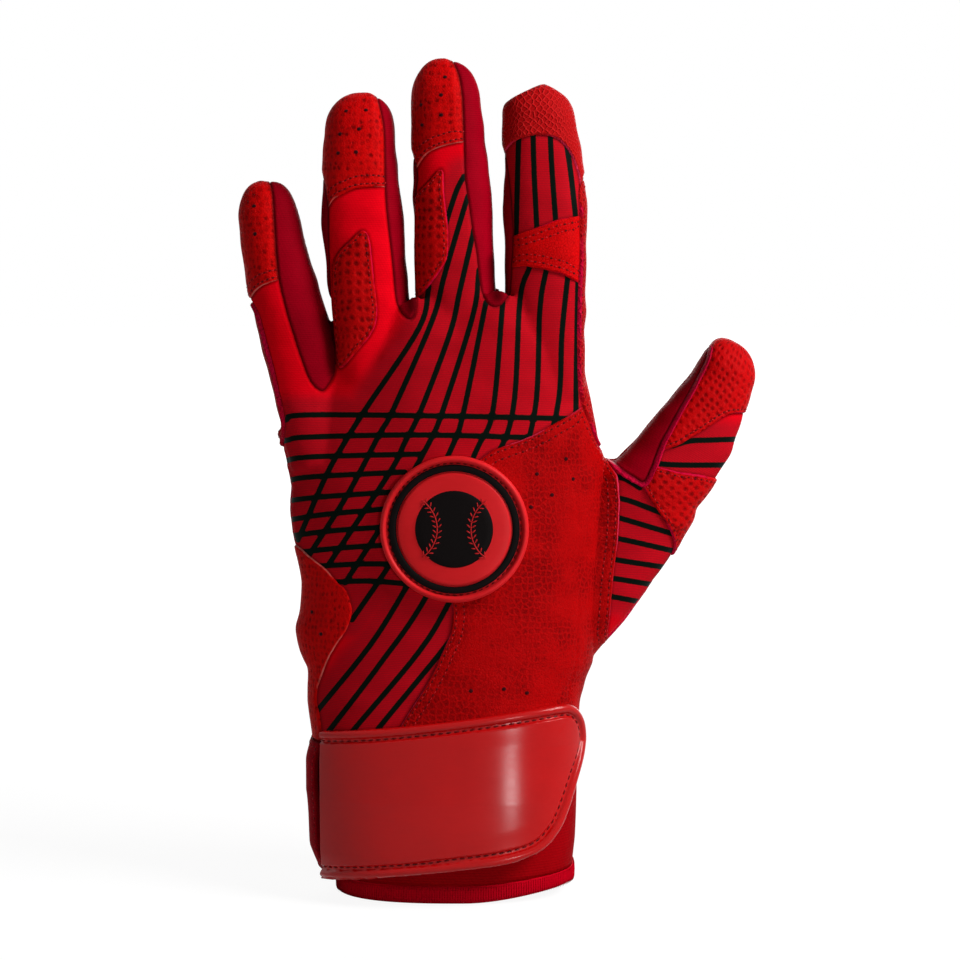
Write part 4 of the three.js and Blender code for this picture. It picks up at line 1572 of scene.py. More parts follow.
@dataclass
class Tailor:
    """Makes finished pieces of cut sheets and hands them to the frame."""

    nodes: dict[str, Object]
    grounds: list[Sheet] = field(default_factory=list)
    small: dict[tuple[str, str], list[Array]] = field(default_factory=dict)
    fewest_faces: int = 12
    shown: tuple[str, ...] = ("edge", "cut", "ink", "cloth")

    def piece(self, name: str, mesh: Mesh, finish: Finish, body: str = "") -> Object:
        """Links a mesh as a piece of a finish.

        Args:
            name: The piece, and the solid that it replaces where it rides one body.
            mesh: Its mesh.
            finish: What it is made of.
            body: The one body that it rides, if it does.

        Returns:
            The piece.
        """
        piece = bpy.data.objects.new(name, mesh)
        bpy.context.scene.collection.objects.link(piece)
        if not mesh.materials:
            mesh.materials.append(finish.material())
        if body:
            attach(piece, body)
            if name in self.nodes:
                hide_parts(name)
        LOG.info("%s: %d faces of %s", name, len(mesh.polygons), finish.name)
        return piece

    def beads(self, name: str, rows: Array, size: Triple, finish: Finish, body: str) -> None:
        """Makes a piece of beads that rides one body."""
        self.piece(name, Repeat(name).mesh(name, rows, size, finish), finish, body)

    def lift(self, sheet: Sheet, outer: Array, inner: Array | float) -> Sheet:
        """Gives a sheet its outer and inner faces.

        Args:
            sheet: The sheet.
            outer: How high its outer face is over each point.
            inner: How high its inner face is.

        Returns:
            The sheet, with both faces and the outer one's directions as values.
        """
        normals = sheet["out"] if "out" in sheet.values else sheet.normals()
        sheet["outer"] = sheet.points + normals * np.asarray(outer).reshape(-1, 1)
        sheet["inner"] = sheet.points + normals * np.asarray(inner).reshape(-1, 1)
        sheet["out"] = sheet.normals(sheet["outer"])
        return sheet

    def closed(self, name: str, sheet: Sheet) -> Mesh:
        """Closes a sheet's outer and inner faces with a wall round its rim.

        Args:
            name: The mesh's name.
            sheet: The sheet, lifted.

        Returns:
            The mesh, with the values that its finish reads.
        """
        count = len(sheet.points)
        points = np.vstack([sheet["outer"], sheet["inner"]])
        a, b = sheet.rim().T
        walls = np.vstack([np.stack([b, a, a + count], 1), np.stack([b, a + count, b + count], 1)])
        under = sheet.faces[:, ::-1]
        p, q, r = (points[walls[:, i]] for i in range(3))
        flat = np.repeat(unit(np.cross(q - p, r - p)), 3, axis=0)
        out = sheet["out"]
        normals = np.vstack([out[sheet.faces].reshape(-1, 3), -out[under].reshape(-1, 3), flat])
        mesh = mesh_of(name, points * MM, np.vstack([sheet.faces, under + count, walls]), normals)
        kept = {key: np.concatenate([sheet[key]] * 2) for key in self.shown if key in sheet.values}
        keep_values(mesh, kept)
        return mesh

    def sew(self, name: str, sheet: Sheet, finish: Finish, stands_for: Solids) -> None:
        """Parts a lifted sheet into its segments and makes a piece of each.

        Args:
            name: The panel.
            sheet: Its sheet, lifted.
            finish: What it is made of.
            stands_for: The solids that the piece replaces on the hand and below and above a digit's parting.
        """
        self.grounds.append(sheet)
        for digit in DIGITS:
            sheet = sheet.split(f"{digit.name}_root").split(f"{digit.name}_mid")
        means = {key: value[sheet.faces].mean(1) for key, value in sheet.values.items() if value.ndim == 1}
        for segment in SEGMENTS:
            held = segment.holds(means)
            if held.sum() < self.fewest_faces:
                continue
            owner = segment.digit.name if segment.digit else ""
            title = f"{owner}_{name.removeprefix(owner + '_')}_{segment.part}" if owner else name
            piece = self.piece(title, self.closed(title, sheet.keep(held)), finish)
            segment.attach(piece)
            solids = [node.format(digit=owner) for node in stands_for.get(segment.part, ())]
            solids = [node for node in solids if node in self.nodes]
            if solids:
                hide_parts(*solids)

    def rows(self, sheet: Sheet, key: str, levels: Sequence[float], pitch: float) -> None:
        """Marks rows of needle holes, and the thread that shows between them.

        Args:
            sheet: The sheet that is sewn.
            key: The value that tells how far its seam is.
            levels: How far each row is from the seam.
            pitch: How far apart the holes are.
        """
        for level in levels:
            for line in sheet.contours(key, level):
                self.mark("needle_holes", spaced(line, pitch))
                self.mark("thread", spaced(line, pitch, phase=1.0))

    def mark(self, kind: str, rows: Array) -> None:
        """Keeps places for small pieces, by the segment that each lies in.

        Args:
            kind: The kind of piece.
            rows: A place, an outward direction and a direction along for each.
        """
        marks = joint_marks(rows[:, :3])
        for segment in SEGMENTS:
            held = segment.holds(marks)
            if held.any():
                self.small.setdefault((kind, segment.name), []).append(rows[held])

    def ground(self) -> BVHTree:
        """The outer faces of all that is sewn, to set small pieces on."""
        points, faces = joined([(sheet["outer"], sheet.faces) for sheet in self.grounds])
        return BVHTree.FromPolygons(points.tolist(), faces.tolist())


ONE_ROW = (1.1,)
TWO_ROWS = (0.95, 3.1)
ROLLED_EDGE = 0.55
UNDERSIDE = 0.03


@dataclass(frozen=True)
class Overlay:
    """A leather panel sewn on top of the stretch back."""

    name: str
    outline: Outline
    finish: Finish
    stands_for: Solids
    rows: tuple[float, ...] = TWO_ROWS
    pitch: float = 2.05
    thickness: float = 0.85
    digit: Digit | None = None

    def build(self, back: Sheet, tailor: Tailor) -> None:
        """Cuts the panel out of the back's surface, rounds its edges and sews it on.

        Args:
            back: The stretch back, which keeps how near the panel's edge is, for the painted shadow round the
                panel.
            tailor: What makes the pieces.
        """
        sheet = back.copy()
        drawn = sheet.smoothed(self.outline.inside(sheet), 3)
        sheet["sewn"] = sheet.measured(drawn)
        # Painted shadow: the back's cloth darkens close outside the panel's edge.
        lap = np.abs(drawn)
        if self.digit:
            near = f"{self.digit.name}_near"
            lap = np.where(sheet[near] > 0, lap, FAR)
            sheet = sheet.side(near)
        back["lap"] = np.minimum(back["lap"], lap)
        sheet = sheet.split("sewn").side("sewn")
        sheet["roll"] = np.minimum(sheet["sewn"], sheet["rim"])
        sheet = sheet.split("roll", 0.22, 0.5)
        # The cut edge's paler line, partly painted highlight, follows cut; the painted seam shade follows
        # edge.
        sheet["cut"], sheet["edge"] = sheet["sewn"], sheet["rim"]
        sheet = tailor.lift(sheet, self.height(sheet), UNDERSIDE)
        tailor.rows(sheet, "sewn", self.rows, self.pitch)
        tailor.sew(self.name, sheet, self.finish, self.stands_for)

    def height(self, sheet: Sheet) -> Array:
        """Finds the panel's upper face: a rolled edge, a soft belly, and a dip along each row of stitches.

        Args:
            sheet: The panel.

        Returns:
            A height for each point.
        """
        edge = np.clip(sheet["roll"], 0, None)
        roll = ROLLED_EDGE * np.sqrt(np.clip(1 - (1 - np.clip(edge / ROLLED_EDGE, 0, 1)) ** 2, 0, 1))
        lift = self.thickness - ROLLED_EDGE + roll + 0.3 * (1 - np.exp(-edge / 3.5))
        for row in self.rows:
            lift -= 0.16 * bell(sheet["sewn"], row, 0.5)
        return lift * (0.2 + 0.8 * smoothstep(0, 2.4, sheet["rim"]))


def cap(digit: Digit, finish: Finish, rows: tuple[float, ...], high: float, seam: Line) -> Overlay:
    """A fingertip's leather cap above its lower seam."""
    outline = Outline(seam, ((seam[-1][0] + 14, high), (seam[0][0] - 20, high)))
    return Overlay(f"{digit.name}_cap", outline, finish, {"up": ("{digit}_cap",)}, rows, 1.6, 0.65, digit)


PINKY_SEAM = ((240, 309), (251, 298), (256, 291), (264, 285), (279, 280), (290, 279))
RING_SEAM = ((322, 222), (329, 207), (334, 199), (343, 194), (358, 188), (384, 187), (396, 187))
MIDDLE_SEAM = ((408, 184), (419, 165), (427, 154), (438, 148), (452, 144), (464, 142), (474, 141))
INDEX_SEAM = (
    (498, 164), (506, 151), (514, 142), (525, 137), (539, 135), (552, 137), (561, 142), (570, 154),
    (577, 171), (581, 190),
)
THUMB_SEAM = ((650, 458), (663, 451), (679, 445), (694, 436), (710, 426), (727, 415), (742, 413), (756, 411))
RING_PATCH = Outline(
    (
        (362, 230), (369, 238), (372, 259), (374, 282), (377, 306), (376, 323), (370, 336), (358, 350),
        (340, 369), (337, 345), (335, 310), (334, 280), (335, 262), (341, 250), (351, 240),
    )
)
MIDDLE_PATCH = Outline(
    (
        (428, 183), (442, 168), (444, 192), (446, 210), (448, 228), (448, 252), (445, 263), (431, 284),
        (417, 299), (408, 306),
    ),
    ((396, 300), (400, 216), (412, 201)),
)
INDEX_BAND = Outline(
    ((506, 240), (514, 236), (536, 228), (557, 220), (579, 216), (590, 214)),
    ((592, 290), (577, 282), (561, 274), (543, 269), (525, 266), (506, 268)),
)
THUMB_SIDE_PANEL = Outline(
    (
        (584, 405), (580, 408), (568, 416), (550, 426), (531, 436), (511, 444), (490, 452), (470, 470),
        (456, 500), (450, 540), (450, 580), (452, 603), (453, 614), (451, 632), (443, 651), (432, 675),
        (421, 694), (408, 714), (394, 738), (386, 752),
    ),
    (
        (380, 775), (650, 775), (606, 632), (609, 619), (611, 598), (614, 569), (618, 539), (620, 500),
        (618, 476), (610, 466),
    ),
)
ULNAR_PATCH = Outline(
    (
        (284, 541), (297, 545), (311, 557), (326, 569), (338, 583), (346, 590), (351, 604), (352, 613),
        (347, 629), (337, 644), (329, 658), (323, 673), (318, 688), (317, 702), (320, 716), (323, 740),
    ),
    ((320, 775), (262, 775), (262, 541)),
)
THUMB_PIPE = Outline(
    (
        (600, 446), (612, 460), (623, 469), (634, 476.5), (643, 481), (648, 470), (655, 455), (661, 441),
        (668, 428), (679, 408), (690, 389), (699, 372), (706, 358), (709, 345), (714, 349), (711, 362),
        (704, 377), (695, 394), (684, 413), (673, 433), (666, 446), (661, 459), (655, 474), (646, 488),
        (632, 482.5), (620, 475), (608, 464), (596, 447),
    )
)
THUMB_BAND = Outline(
    (
        (628, 468), (640, 482), (651, 500), (660, 514), (669, 529), (673, 541), (672, 552), (664, 566),
        (650, 586),
    ),
    ((720, 580), (760, 500), (740, 484), (720, 479), (701, 475), (679, 472), (659, 467), (645, 462)),
)
BAND_SOLIDS = {"hand": ("thumb_band_lower",), "low": ("thumb_band_upper",)}
OVERLAYS = (
    cap(PINKY, CAP_LEATHER, TWO_ROWS, 150, PINKY_SEAM),
    cap(RING, CAP_LEATHER, TWO_ROWS, 60, RING_SEAM),
    cap(MIDDLE, CAP_LEATHER, TWO_ROWS, 30, MIDDLE_SEAM),
    cap(INDEX, NET_LEATHER, (), 50, INDEX_SEAM),
    cap(THUMB, GRIP_LEATHER, ONE_ROW, 310, THUMB_SEAM),
    Overlay("ring_patch", RING_PATCH, PATCH_LEATHER, {"low": ("ring_patch",)}, ONE_ROW),
    Overlay("middle_patch", MIDDLE_PATCH, PATCH_LEATHER, {"low": ("middle_patch",)}, ONE_ROW, digit=MIDDLE),
    Overlay("index_band", INDEX_BAND, BAND_LEATHER, {"low": ("index_band",)}, (1.6, 3.5), 2.3, digit=INDEX),
    Overlay("thumb_side_panel", THUMB_SIDE_PANEL, PANEL_LEATHER, {"hand": ("thumb_side_panel",)}),
    Overlay("ulnar_patch", ULNAR_PATCH, CAP_LEATHER, {"hand": ("ulnar_patch",)}, (), thickness=0.6),
    Overlay("thumb_pipe", THUMB_PIPE, PIPE_LEATHER, {}, (), thickness=1.1),
    Overlay("thumb_band", THUMB_BAND, GRIP_LEATHER, BAND_SOLIDS, ONE_ROW),
)


@dataclass
class Panels:
    """The sewn shell of the glove: palm, gussets, stretch back, and the leather laid on it."""

    tailor: Tailor
    wall: float = 1.05
    fold_depth: float = 14
    ink_half_width: float = 0.78
    palm_patch: Line = (
        (-34, 60), (-20, 53), (-2, 55), (10, 68), (9, 88), (-4, 97), (-24, 96), (-36, 84)
    )
    # Lines in picture points down the finger crotches, where the gussets are darkened as painted shade.
    hollows: tuple[tuple[Pair, Pair], ...] = (
        ((328, 318), (336, 372)), ((408, 262), (412, 308)), ((495, 262), (498, 296))
    )

    def build(self, skin: Sheet) -> None:
        """Cuts the skin along its seams and makes each panel.

        Args:
            skin: The skin.
        """
        skin = skin.split("wrist").side("wrist")
        for fold in (PINKY_FOLD, INDEX_FOLD):
            wrap = np.where(skin["front"] > -self.fold_depth, fold.inside(skin), -FAR)
            skin["front"] = np.maximum(skin["front"], wrap)
        skin["front"] = skin.measured(skin["front"])
        skin = skin.split("front")
        self.palm(skin.side("front"))
        behind = skin.side("front", above=False)
        behind["gap"] = behind.measured(np.max([gap.inside(behind) for gap in GAPS], axis=0))
        behind = behind.split("gap")
        self.gussets(behind.side("gap"))
        back = behind.side("gap", above=False)
        back["rim"] = np.minimum(-back["front"], -back["gap"])
        back["lap"] = np.full(len(back.points), FAR)
        for digit in DIGITS:
            back[f"{digit.name}_near"] = np.where(back[f"{digit.name}_root"] > OFF_DIGIT, 1.0, -1.0)
        for overlay in OVERLAYS:
            overlay.build(back, self.tailor)
        self.stretch(back)

    def palm(self, sheet: Sheet) -> None:
        """Makes the leather of the palm and the digits' fronts, with a rolled seam where it meets the back.

        Args:
            sheet: The front of the skin.
        """
        sheet = sheet.split("front", 0.4, 0.9, 1.5)
        edge, flat = sheet["front"], sheet["flat"]
        plain = smoothstep(214, 186, flat[:, 1]) * (flat[:, 0] > 540)
        sheet["cut"] = edge + 3 * plain
        sheet["edge"] = np.full(len(edge), FAR)
        height = 0.62 * bell(edge, 0.8, 0.62) - 0.3 * smoothstep(0.35, 0, edge)
        sheet = self.tailor.lift(sheet, height * (1 - plain), -self.wall)
        self.tailor.rows(sheet, "front", (2.6,), 2.4)
        stands = {"hand": ("palm_leather",), "low": ("{digit}_front_lower",), "up": ("{digit}_front_upper",)}
        self.tailor.sew("palm_leather", sheet, PALM_LEATHER, stands)
        self.patch(sheet.copy())

    def patch(self, sheet: Sheet) -> None:
        """Makes the patch on the palm.

        Args:
            sheet: The palm leather, lifted.
        """
        drawn = inside_distance(sheet.points[:, [0, 2]], curve(self.palm_patch, closed=True))
        sheet["sewn"] = sheet.measured(drawn)
        sheet = sheet.split("sewn").side("sewn")
        sheet["cut"] = sheet["sewn"]
        sheet = sheet.split("cut", 0.22, 0.5, 1.0)
        edge = sheet["cut"]
        height = 0.35 + 0.5 * smoothstep(0, 0.6, edge) + 0.25 * (1 - np.exp(-edge / 4))
        sheet = self.tailor.lift(sheet, height, UNDERSIDE)
        self.tailor.rows(sheet, "cut", (1.2,), 2.4)
        self.tailor.sew("palm_patch", sheet, PATCH_LEATHER, {"hand": ("palm_patch",)})

    def tucked(self, sheet: Sheet) -> Sheet:
        """Lifts a panel of cloth whose edge is drawn in at the seam."""
        sheet = sheet.split("edge", 0.3, 0.8)
        return self.tailor.lift(sheet, -0.3 * smoothstep(0.8, 0, sheet["edge"]), -self.wall)

    def gussets(self, sheet: Sheet) -> None:
        """Makes the crimson walls between the digits.

        Args:
            sheet: The skin in the gaps.
        """
        # Painted shade: the gussets darken near their seams and, in the loop below, down in the finger
        # crotches.
        sheet["edge"] = np.minimum(sheet["gap"], -sheet["front"])
        sheet = self.tucked(sheet)
        for shaded_crotch in self.hollows:
            far = line_distance(sheet["flat"], np.array(shaded_crotch)) * VIEW.point
            sheet["edge"] = np.minimum(sheet["edge"], 0.34 * far - 0.15)
        stands = {
            "low": ("{digit}_ulnar_gusset_lower", "{digit}_radial_gusset_lower"),
            "up": ("{digit}_ulnar_gusset_upper", "{digit}_radial_gusset_upper"),
        }
        self.tailor.sew("gusset", sheet, GUSSET_KNIT, stands)

    def stretch(self, sheet: Sheet) -> None:
        """Makes the stretch back with its printed lines, and the web of the thumb.

        Args:
            sheet: The back of the skin.
        """
        lines = [line_distance(sheet["flat"], curve(line)) for line in PRINTED_LINES]
        sheet["ink"] = np.min(lines, axis=0) * VIEW.point - self.ink_half_width
        # Painted shade along the back's seams, and painted shadow round the leather laid on it.
        sheet["edge"] = sheet["rim"]
        sheet = self.tucked(sheet)
        sheet["edge"] = np.minimum(sheet["edge"], sheet["lap"])
        stands = {
            "hand": ("back_panel", "web_gusset"),
            "low": ("{digit}_back_lower", "{digit}_knuckle_lower"),
            "up": ("{digit}_back_upper", "{digit}_knuckle_upper"),
        }
        self.tailor.sew("back_panel", sheet, RED_KNIT, stands)


@dataclass
class Wristband:
    """The cuff, its hem, and the strap that closes it."""

    tailor: Tailor
    wall: float = 2.2
    puff: float = 0.25
    hem_proud: float = 0.5
    hem_rise: float = 3.2
    rib_pitch: float = 0.72
    low: float = 7.5
    high: float = 47.4
    start_low: float = -34.6
    start_high: float = -38.2
    nose: Line = (
        (-18, 9.5), (0, 11.4), (14.1, 13.3), (22.1, 15.9), (26.8, 20.6), (29.8, 26.5), (32.4, 33.4),
        (34.9, 40.4), (35.9, 46), (35.6, 51), (33.4, 54.5), (29, 55.4), (15.5, 54), (-1, 51.9), (-22.4, 49.4),
    )
    strap_seat: float = 2.5
    strap_thickness: float = 1.9
    strap_lean: float = 4.6
    strap_crown: float = 0.3
    bead_middle: float = 1.15
    bead_half: float = 1.25
    bead_foot: float = 0.85
    bead_height: float = 1.35
    bead_end: float = 2.4
    groove: float = 1.2
    groove_end: Pair = (3.2, 3.8)
    groove_stitch: Triple = (1.7, 0.5, 0.5)
    pad: Line = ((1, 22), (22, 22), (22, 42), (1, 42))
    pad_thickness: float = 0.8

    def build(self) -> None:
        """Makes the cuff, the hem, the strap, its tab and its pads."""
        for make in (self.cuff, self.hem, self.strap, self.tab, self.pads):
            make()

    def rise(self, x: Array, height: float) -> Array:
        """How far the foot of the cuff is drawn up on the thumb side."""
        return self.hem_rise * smoothstep(2, 36, x) * max(0.0, 1 - height / 18)

    def ring_piece(self, name: str, profile: Sequence[Triple], finish: Finish, around: int) -> None:
        """Runs a closed profile right round the wrist.

        Args:
            name: The piece and the solid it replaces.
            profile: Heights, how far outside the wristband each is, and the height at which the form is read.
            finish: What it is made of.
            around: Points round the wrist.
        """
        rings = []
        for height, grow, read in profile:
            ring = WRIST.ring(grow, read, round_angles(around))
            ring[:, 2] = height + self.rise(ring[:, 0], height)
            rings.append(ring)
        sheet = hoop(np.array([*rings, rings[0]]))
        mesh = mesh_of(name, sheet.points * MM, sheet.faces, sheet.normals()[sheet.faces].reshape(-1, 3))
        arc = np.cumsum(np.linalg.norm(np.diff(rings[0], axis=0, append=rings[0][:1]), axis=1))
        cloth = np.stack([np.tile(arc, len(rings)), sheet.points[:, 2], sheet.points[:, 1]], 1)
        keep_values(mesh, {"cloth": cloth, "edge": np.full(len(cloth), FAR)})
        self.tailor.piece(name, mesh, finish, "hand")

    def cuff(self) -> None:
        """The thick band round the wrist, tucked under the hand's panels at its top."""
        rows, foot, top = 26, WRIST.hem_top - 0.6, WRIST.top
        puff = self.puff * np.sin(np.linspace(0, math.pi, rows))
        outside = [(h, p - 0.1, h) for h, p in zip(np.linspace(foot, top - 0.4, rows), puff)]
        tuck = [(top + 0.2, -0.6, 44), (top + 3, -1.25, 46), (top + 3, -1.9, 46)]
        inside = [(h, -self.wall, h) for h in np.linspace(top, foot, 14)]
        self.ring_piece("cuff", outside + tuck + inside, CUFF_KNIT, 220)

    def hem(self) -> None:
        """The rolled binding along the foot, with its fine upright ribs."""
        roll, tall = self.wall + 2 * self.hem_proud, WRIST.hem_top - 0.3
        profile = []
        for turn in np.linspace(-math.pi / 2, 1.5 * math.pi, 28, endpoint=False):
            across, up = np.cos(turn), np.sin(turn)
            grow = np.sign(across) * abs(across) ** 0.7 * roll / 2 - roll / 2 + self.hem_proud
            height = tall / 2 + np.sign(up) * abs(up) ** 0.6 * tall / 2
            profile.append((max(height, 0.0), grow, WRIST.hem_top))
        self.ring_piece("hem_binding", profile, BINDING, 240)
        ring = WRIST.ring(self.hem_proud - 0.06, WRIST.hem_top, np.linspace(0, TURN, 3000))
        ring[:, 2] = tall / 2 + self.rise(ring[:, 0], tall / 2)
        out = unit(np.stack([np.gradient(ring[:, 1]), -np.gradient(ring[:, 0]), np.zeros(len(ring))], 1))
        rows = spaced(np.hstack([ring, out]), self.rib_pitch)
        rows[:, 6:9] = (0, 0, 1)
        mesh = Repeat("hem_ribs").mesh("hem_ribs", rows, (tall * 0.86, 0.5, 0.46), BINDING)
        count = len(mesh.vertices)
        keep_values(mesh, {"cloth": np.full((count, 3), FAR), "edge": np.full(count, FAR)})
        self.tailor.piece("hem_ribs", mesh, BINDING, "hand")

    def strap(self) -> None:
        """The moulded strap: a bead along its edge, a stitched groove inside it, and a bare face."""
        start, end = (self.start_low, self.low), (self.start_high, self.high)
        nose = curve(self.nose)
        closed = np.vstack([start, nose, end])
        edge = np.vstack([(start[0] - 4, start[1]), nose, (end[0] - 4, end[1])])
        sheet = WRIST.band(self.strap_seat, (5, 60), (172, 372), (156, 330))
        drawn = sheet.measured(inside_distance(sheet.points[:, [0, 2]], closed))
        sheet["sewn"] = np.where(sheet.points[:, 1] < 0.5, drawn, -FAR)
        sheet = sheet.split("sewn").side("sewn")
        sheet["edge"] = sheet.measured(line_distance(sheet.points[:, [0, 2]], edge))
        sheet = sheet.split("edge", 0.3, 0.8, 1.5, 2.1, 2.5, 2.9, 3.3, 3.7)
        inset = sheet["edge"]
        bead = np.sqrt(np.clip(1 - ((inset - self.bead_middle) / self.bead_half) ** 2, 0, 1))
        face = self.groove + (self.strap_thickness - self.groove) * smoothstep(*self.groove_end, inset)
        height = np.where(inset < self.bead_end, self.bead_foot + self.bead_height * bead, face)
        x, _, z = sheet.points.T
        share = (z - 30 - 0.09 * x) / 20
        lean = self.strap_lean * (0.1 - 0.5 * np.clip(share, -1.2, 1.2))
        crown = self.strap_crown * np.clip(1 - share**2, 0, 1) * smoothstep(self.bead_end, 9, inset)
        sheet = self.tailor.lift(sheet, height + lean + crown, lean)
        self.tailor.piece("strap", self.tailor.closed("strap", sheet), STRAP_RUBBER, "strap")
        rows = np.vstack([spaced(line, 2.2) for line in sheet.contours("edge", 2.95)])
        self.tailor.beads("strap_stitches", rows, self.groove_stitch, GROOVE_THREAD, "strap")

    def tab(self) -> None:
        """The cloth tab that holds the strap's sewn end."""
        sheet = WRIST.band(0.3, (6, 46), (150, 225), (110, 170))
        slant = (self.start_high - self.start_low) / (WRIST.top - self.low)
        x, y, z = sheet.points.T
        side = np.maximum(self.start_low - 1.0 + slant * (z - self.low) - x, y + 11)
        ends = np.minimum(np.minimum(z - self.low - 0.3, WRIST.top - 0.3 - z), 7 - y)
        # The distance from the tab's edge shapes the tab, and the tab's cloth darkens near that edge as
        # painted shade.
        sheet["edge"] = sheet.measured(np.minimum(side, ends))
        sheet = sheet.split("edge").side("edge").split("edge", 0.3, 0.7, 1.4)
        z = sheet.points[:, 2]
        swell = 0.3 + 0.7 * smoothstep(0, 7, WRIST.top - z) + 1.1 * smoothstep(30, 8, z)
        sheet = self.tailor.lift(sheet, (1.1 + 0.8 * smoothstep(0, 1.0, sheet["edge"])) * swell, 0.0)
        self.tailor.rows(sheet, "edge", (1.6,), 2.2)
        self.tailor.piece("strap_anchor", self.tailor.closed("strap_anchor", sheet), TAB_CLOTH, "hand")

    def pads(self) -> None:
        """The hook pad under the strap and the loop pad on the cuff."""
        for name, seat, body in (("loop_pad", 0.3, "hand"), ("hook_pad", 1.4, "strap")):
            sheet = WRIST.band(seat, (20, 44), (265, 345), (60, 110))
            drawn = inside_distance(sheet.points[:, [0, 2]], np.array(self.pad, float))
            sheet["edge"] = sheet.measured(drawn)
            sheet = sheet.split("edge").side("edge")
            sheet = self.tailor.lift(sheet, np.full(len(sheet.points), self.pad_thickness), 0.0)
            self.tailor.piece(name, self.tailor.closed(name, sheet), TAPE, body)


def dense(profile: Sequence[Pair], step: float = 1.6) -> list[Pair]:
    """Adds points to a profile's long runs.

    Args:
        profile: The profile's points.
        step: About how far apart the points are then.

    Returns:
        All points in order.
    """
    rows: list[Pair] = [tuple(profile[0])]
    for start, end in zip(profile[:-1], profile[1:]):
        count = max(1, round(math.dist(start, end) / step))
        for i in range(1, count + 1):
            share = i / count
            rows.append((start[0] + (end[0] - start[0]) * share, start[1] + (end[1] - start[1]) * share))
    return rows


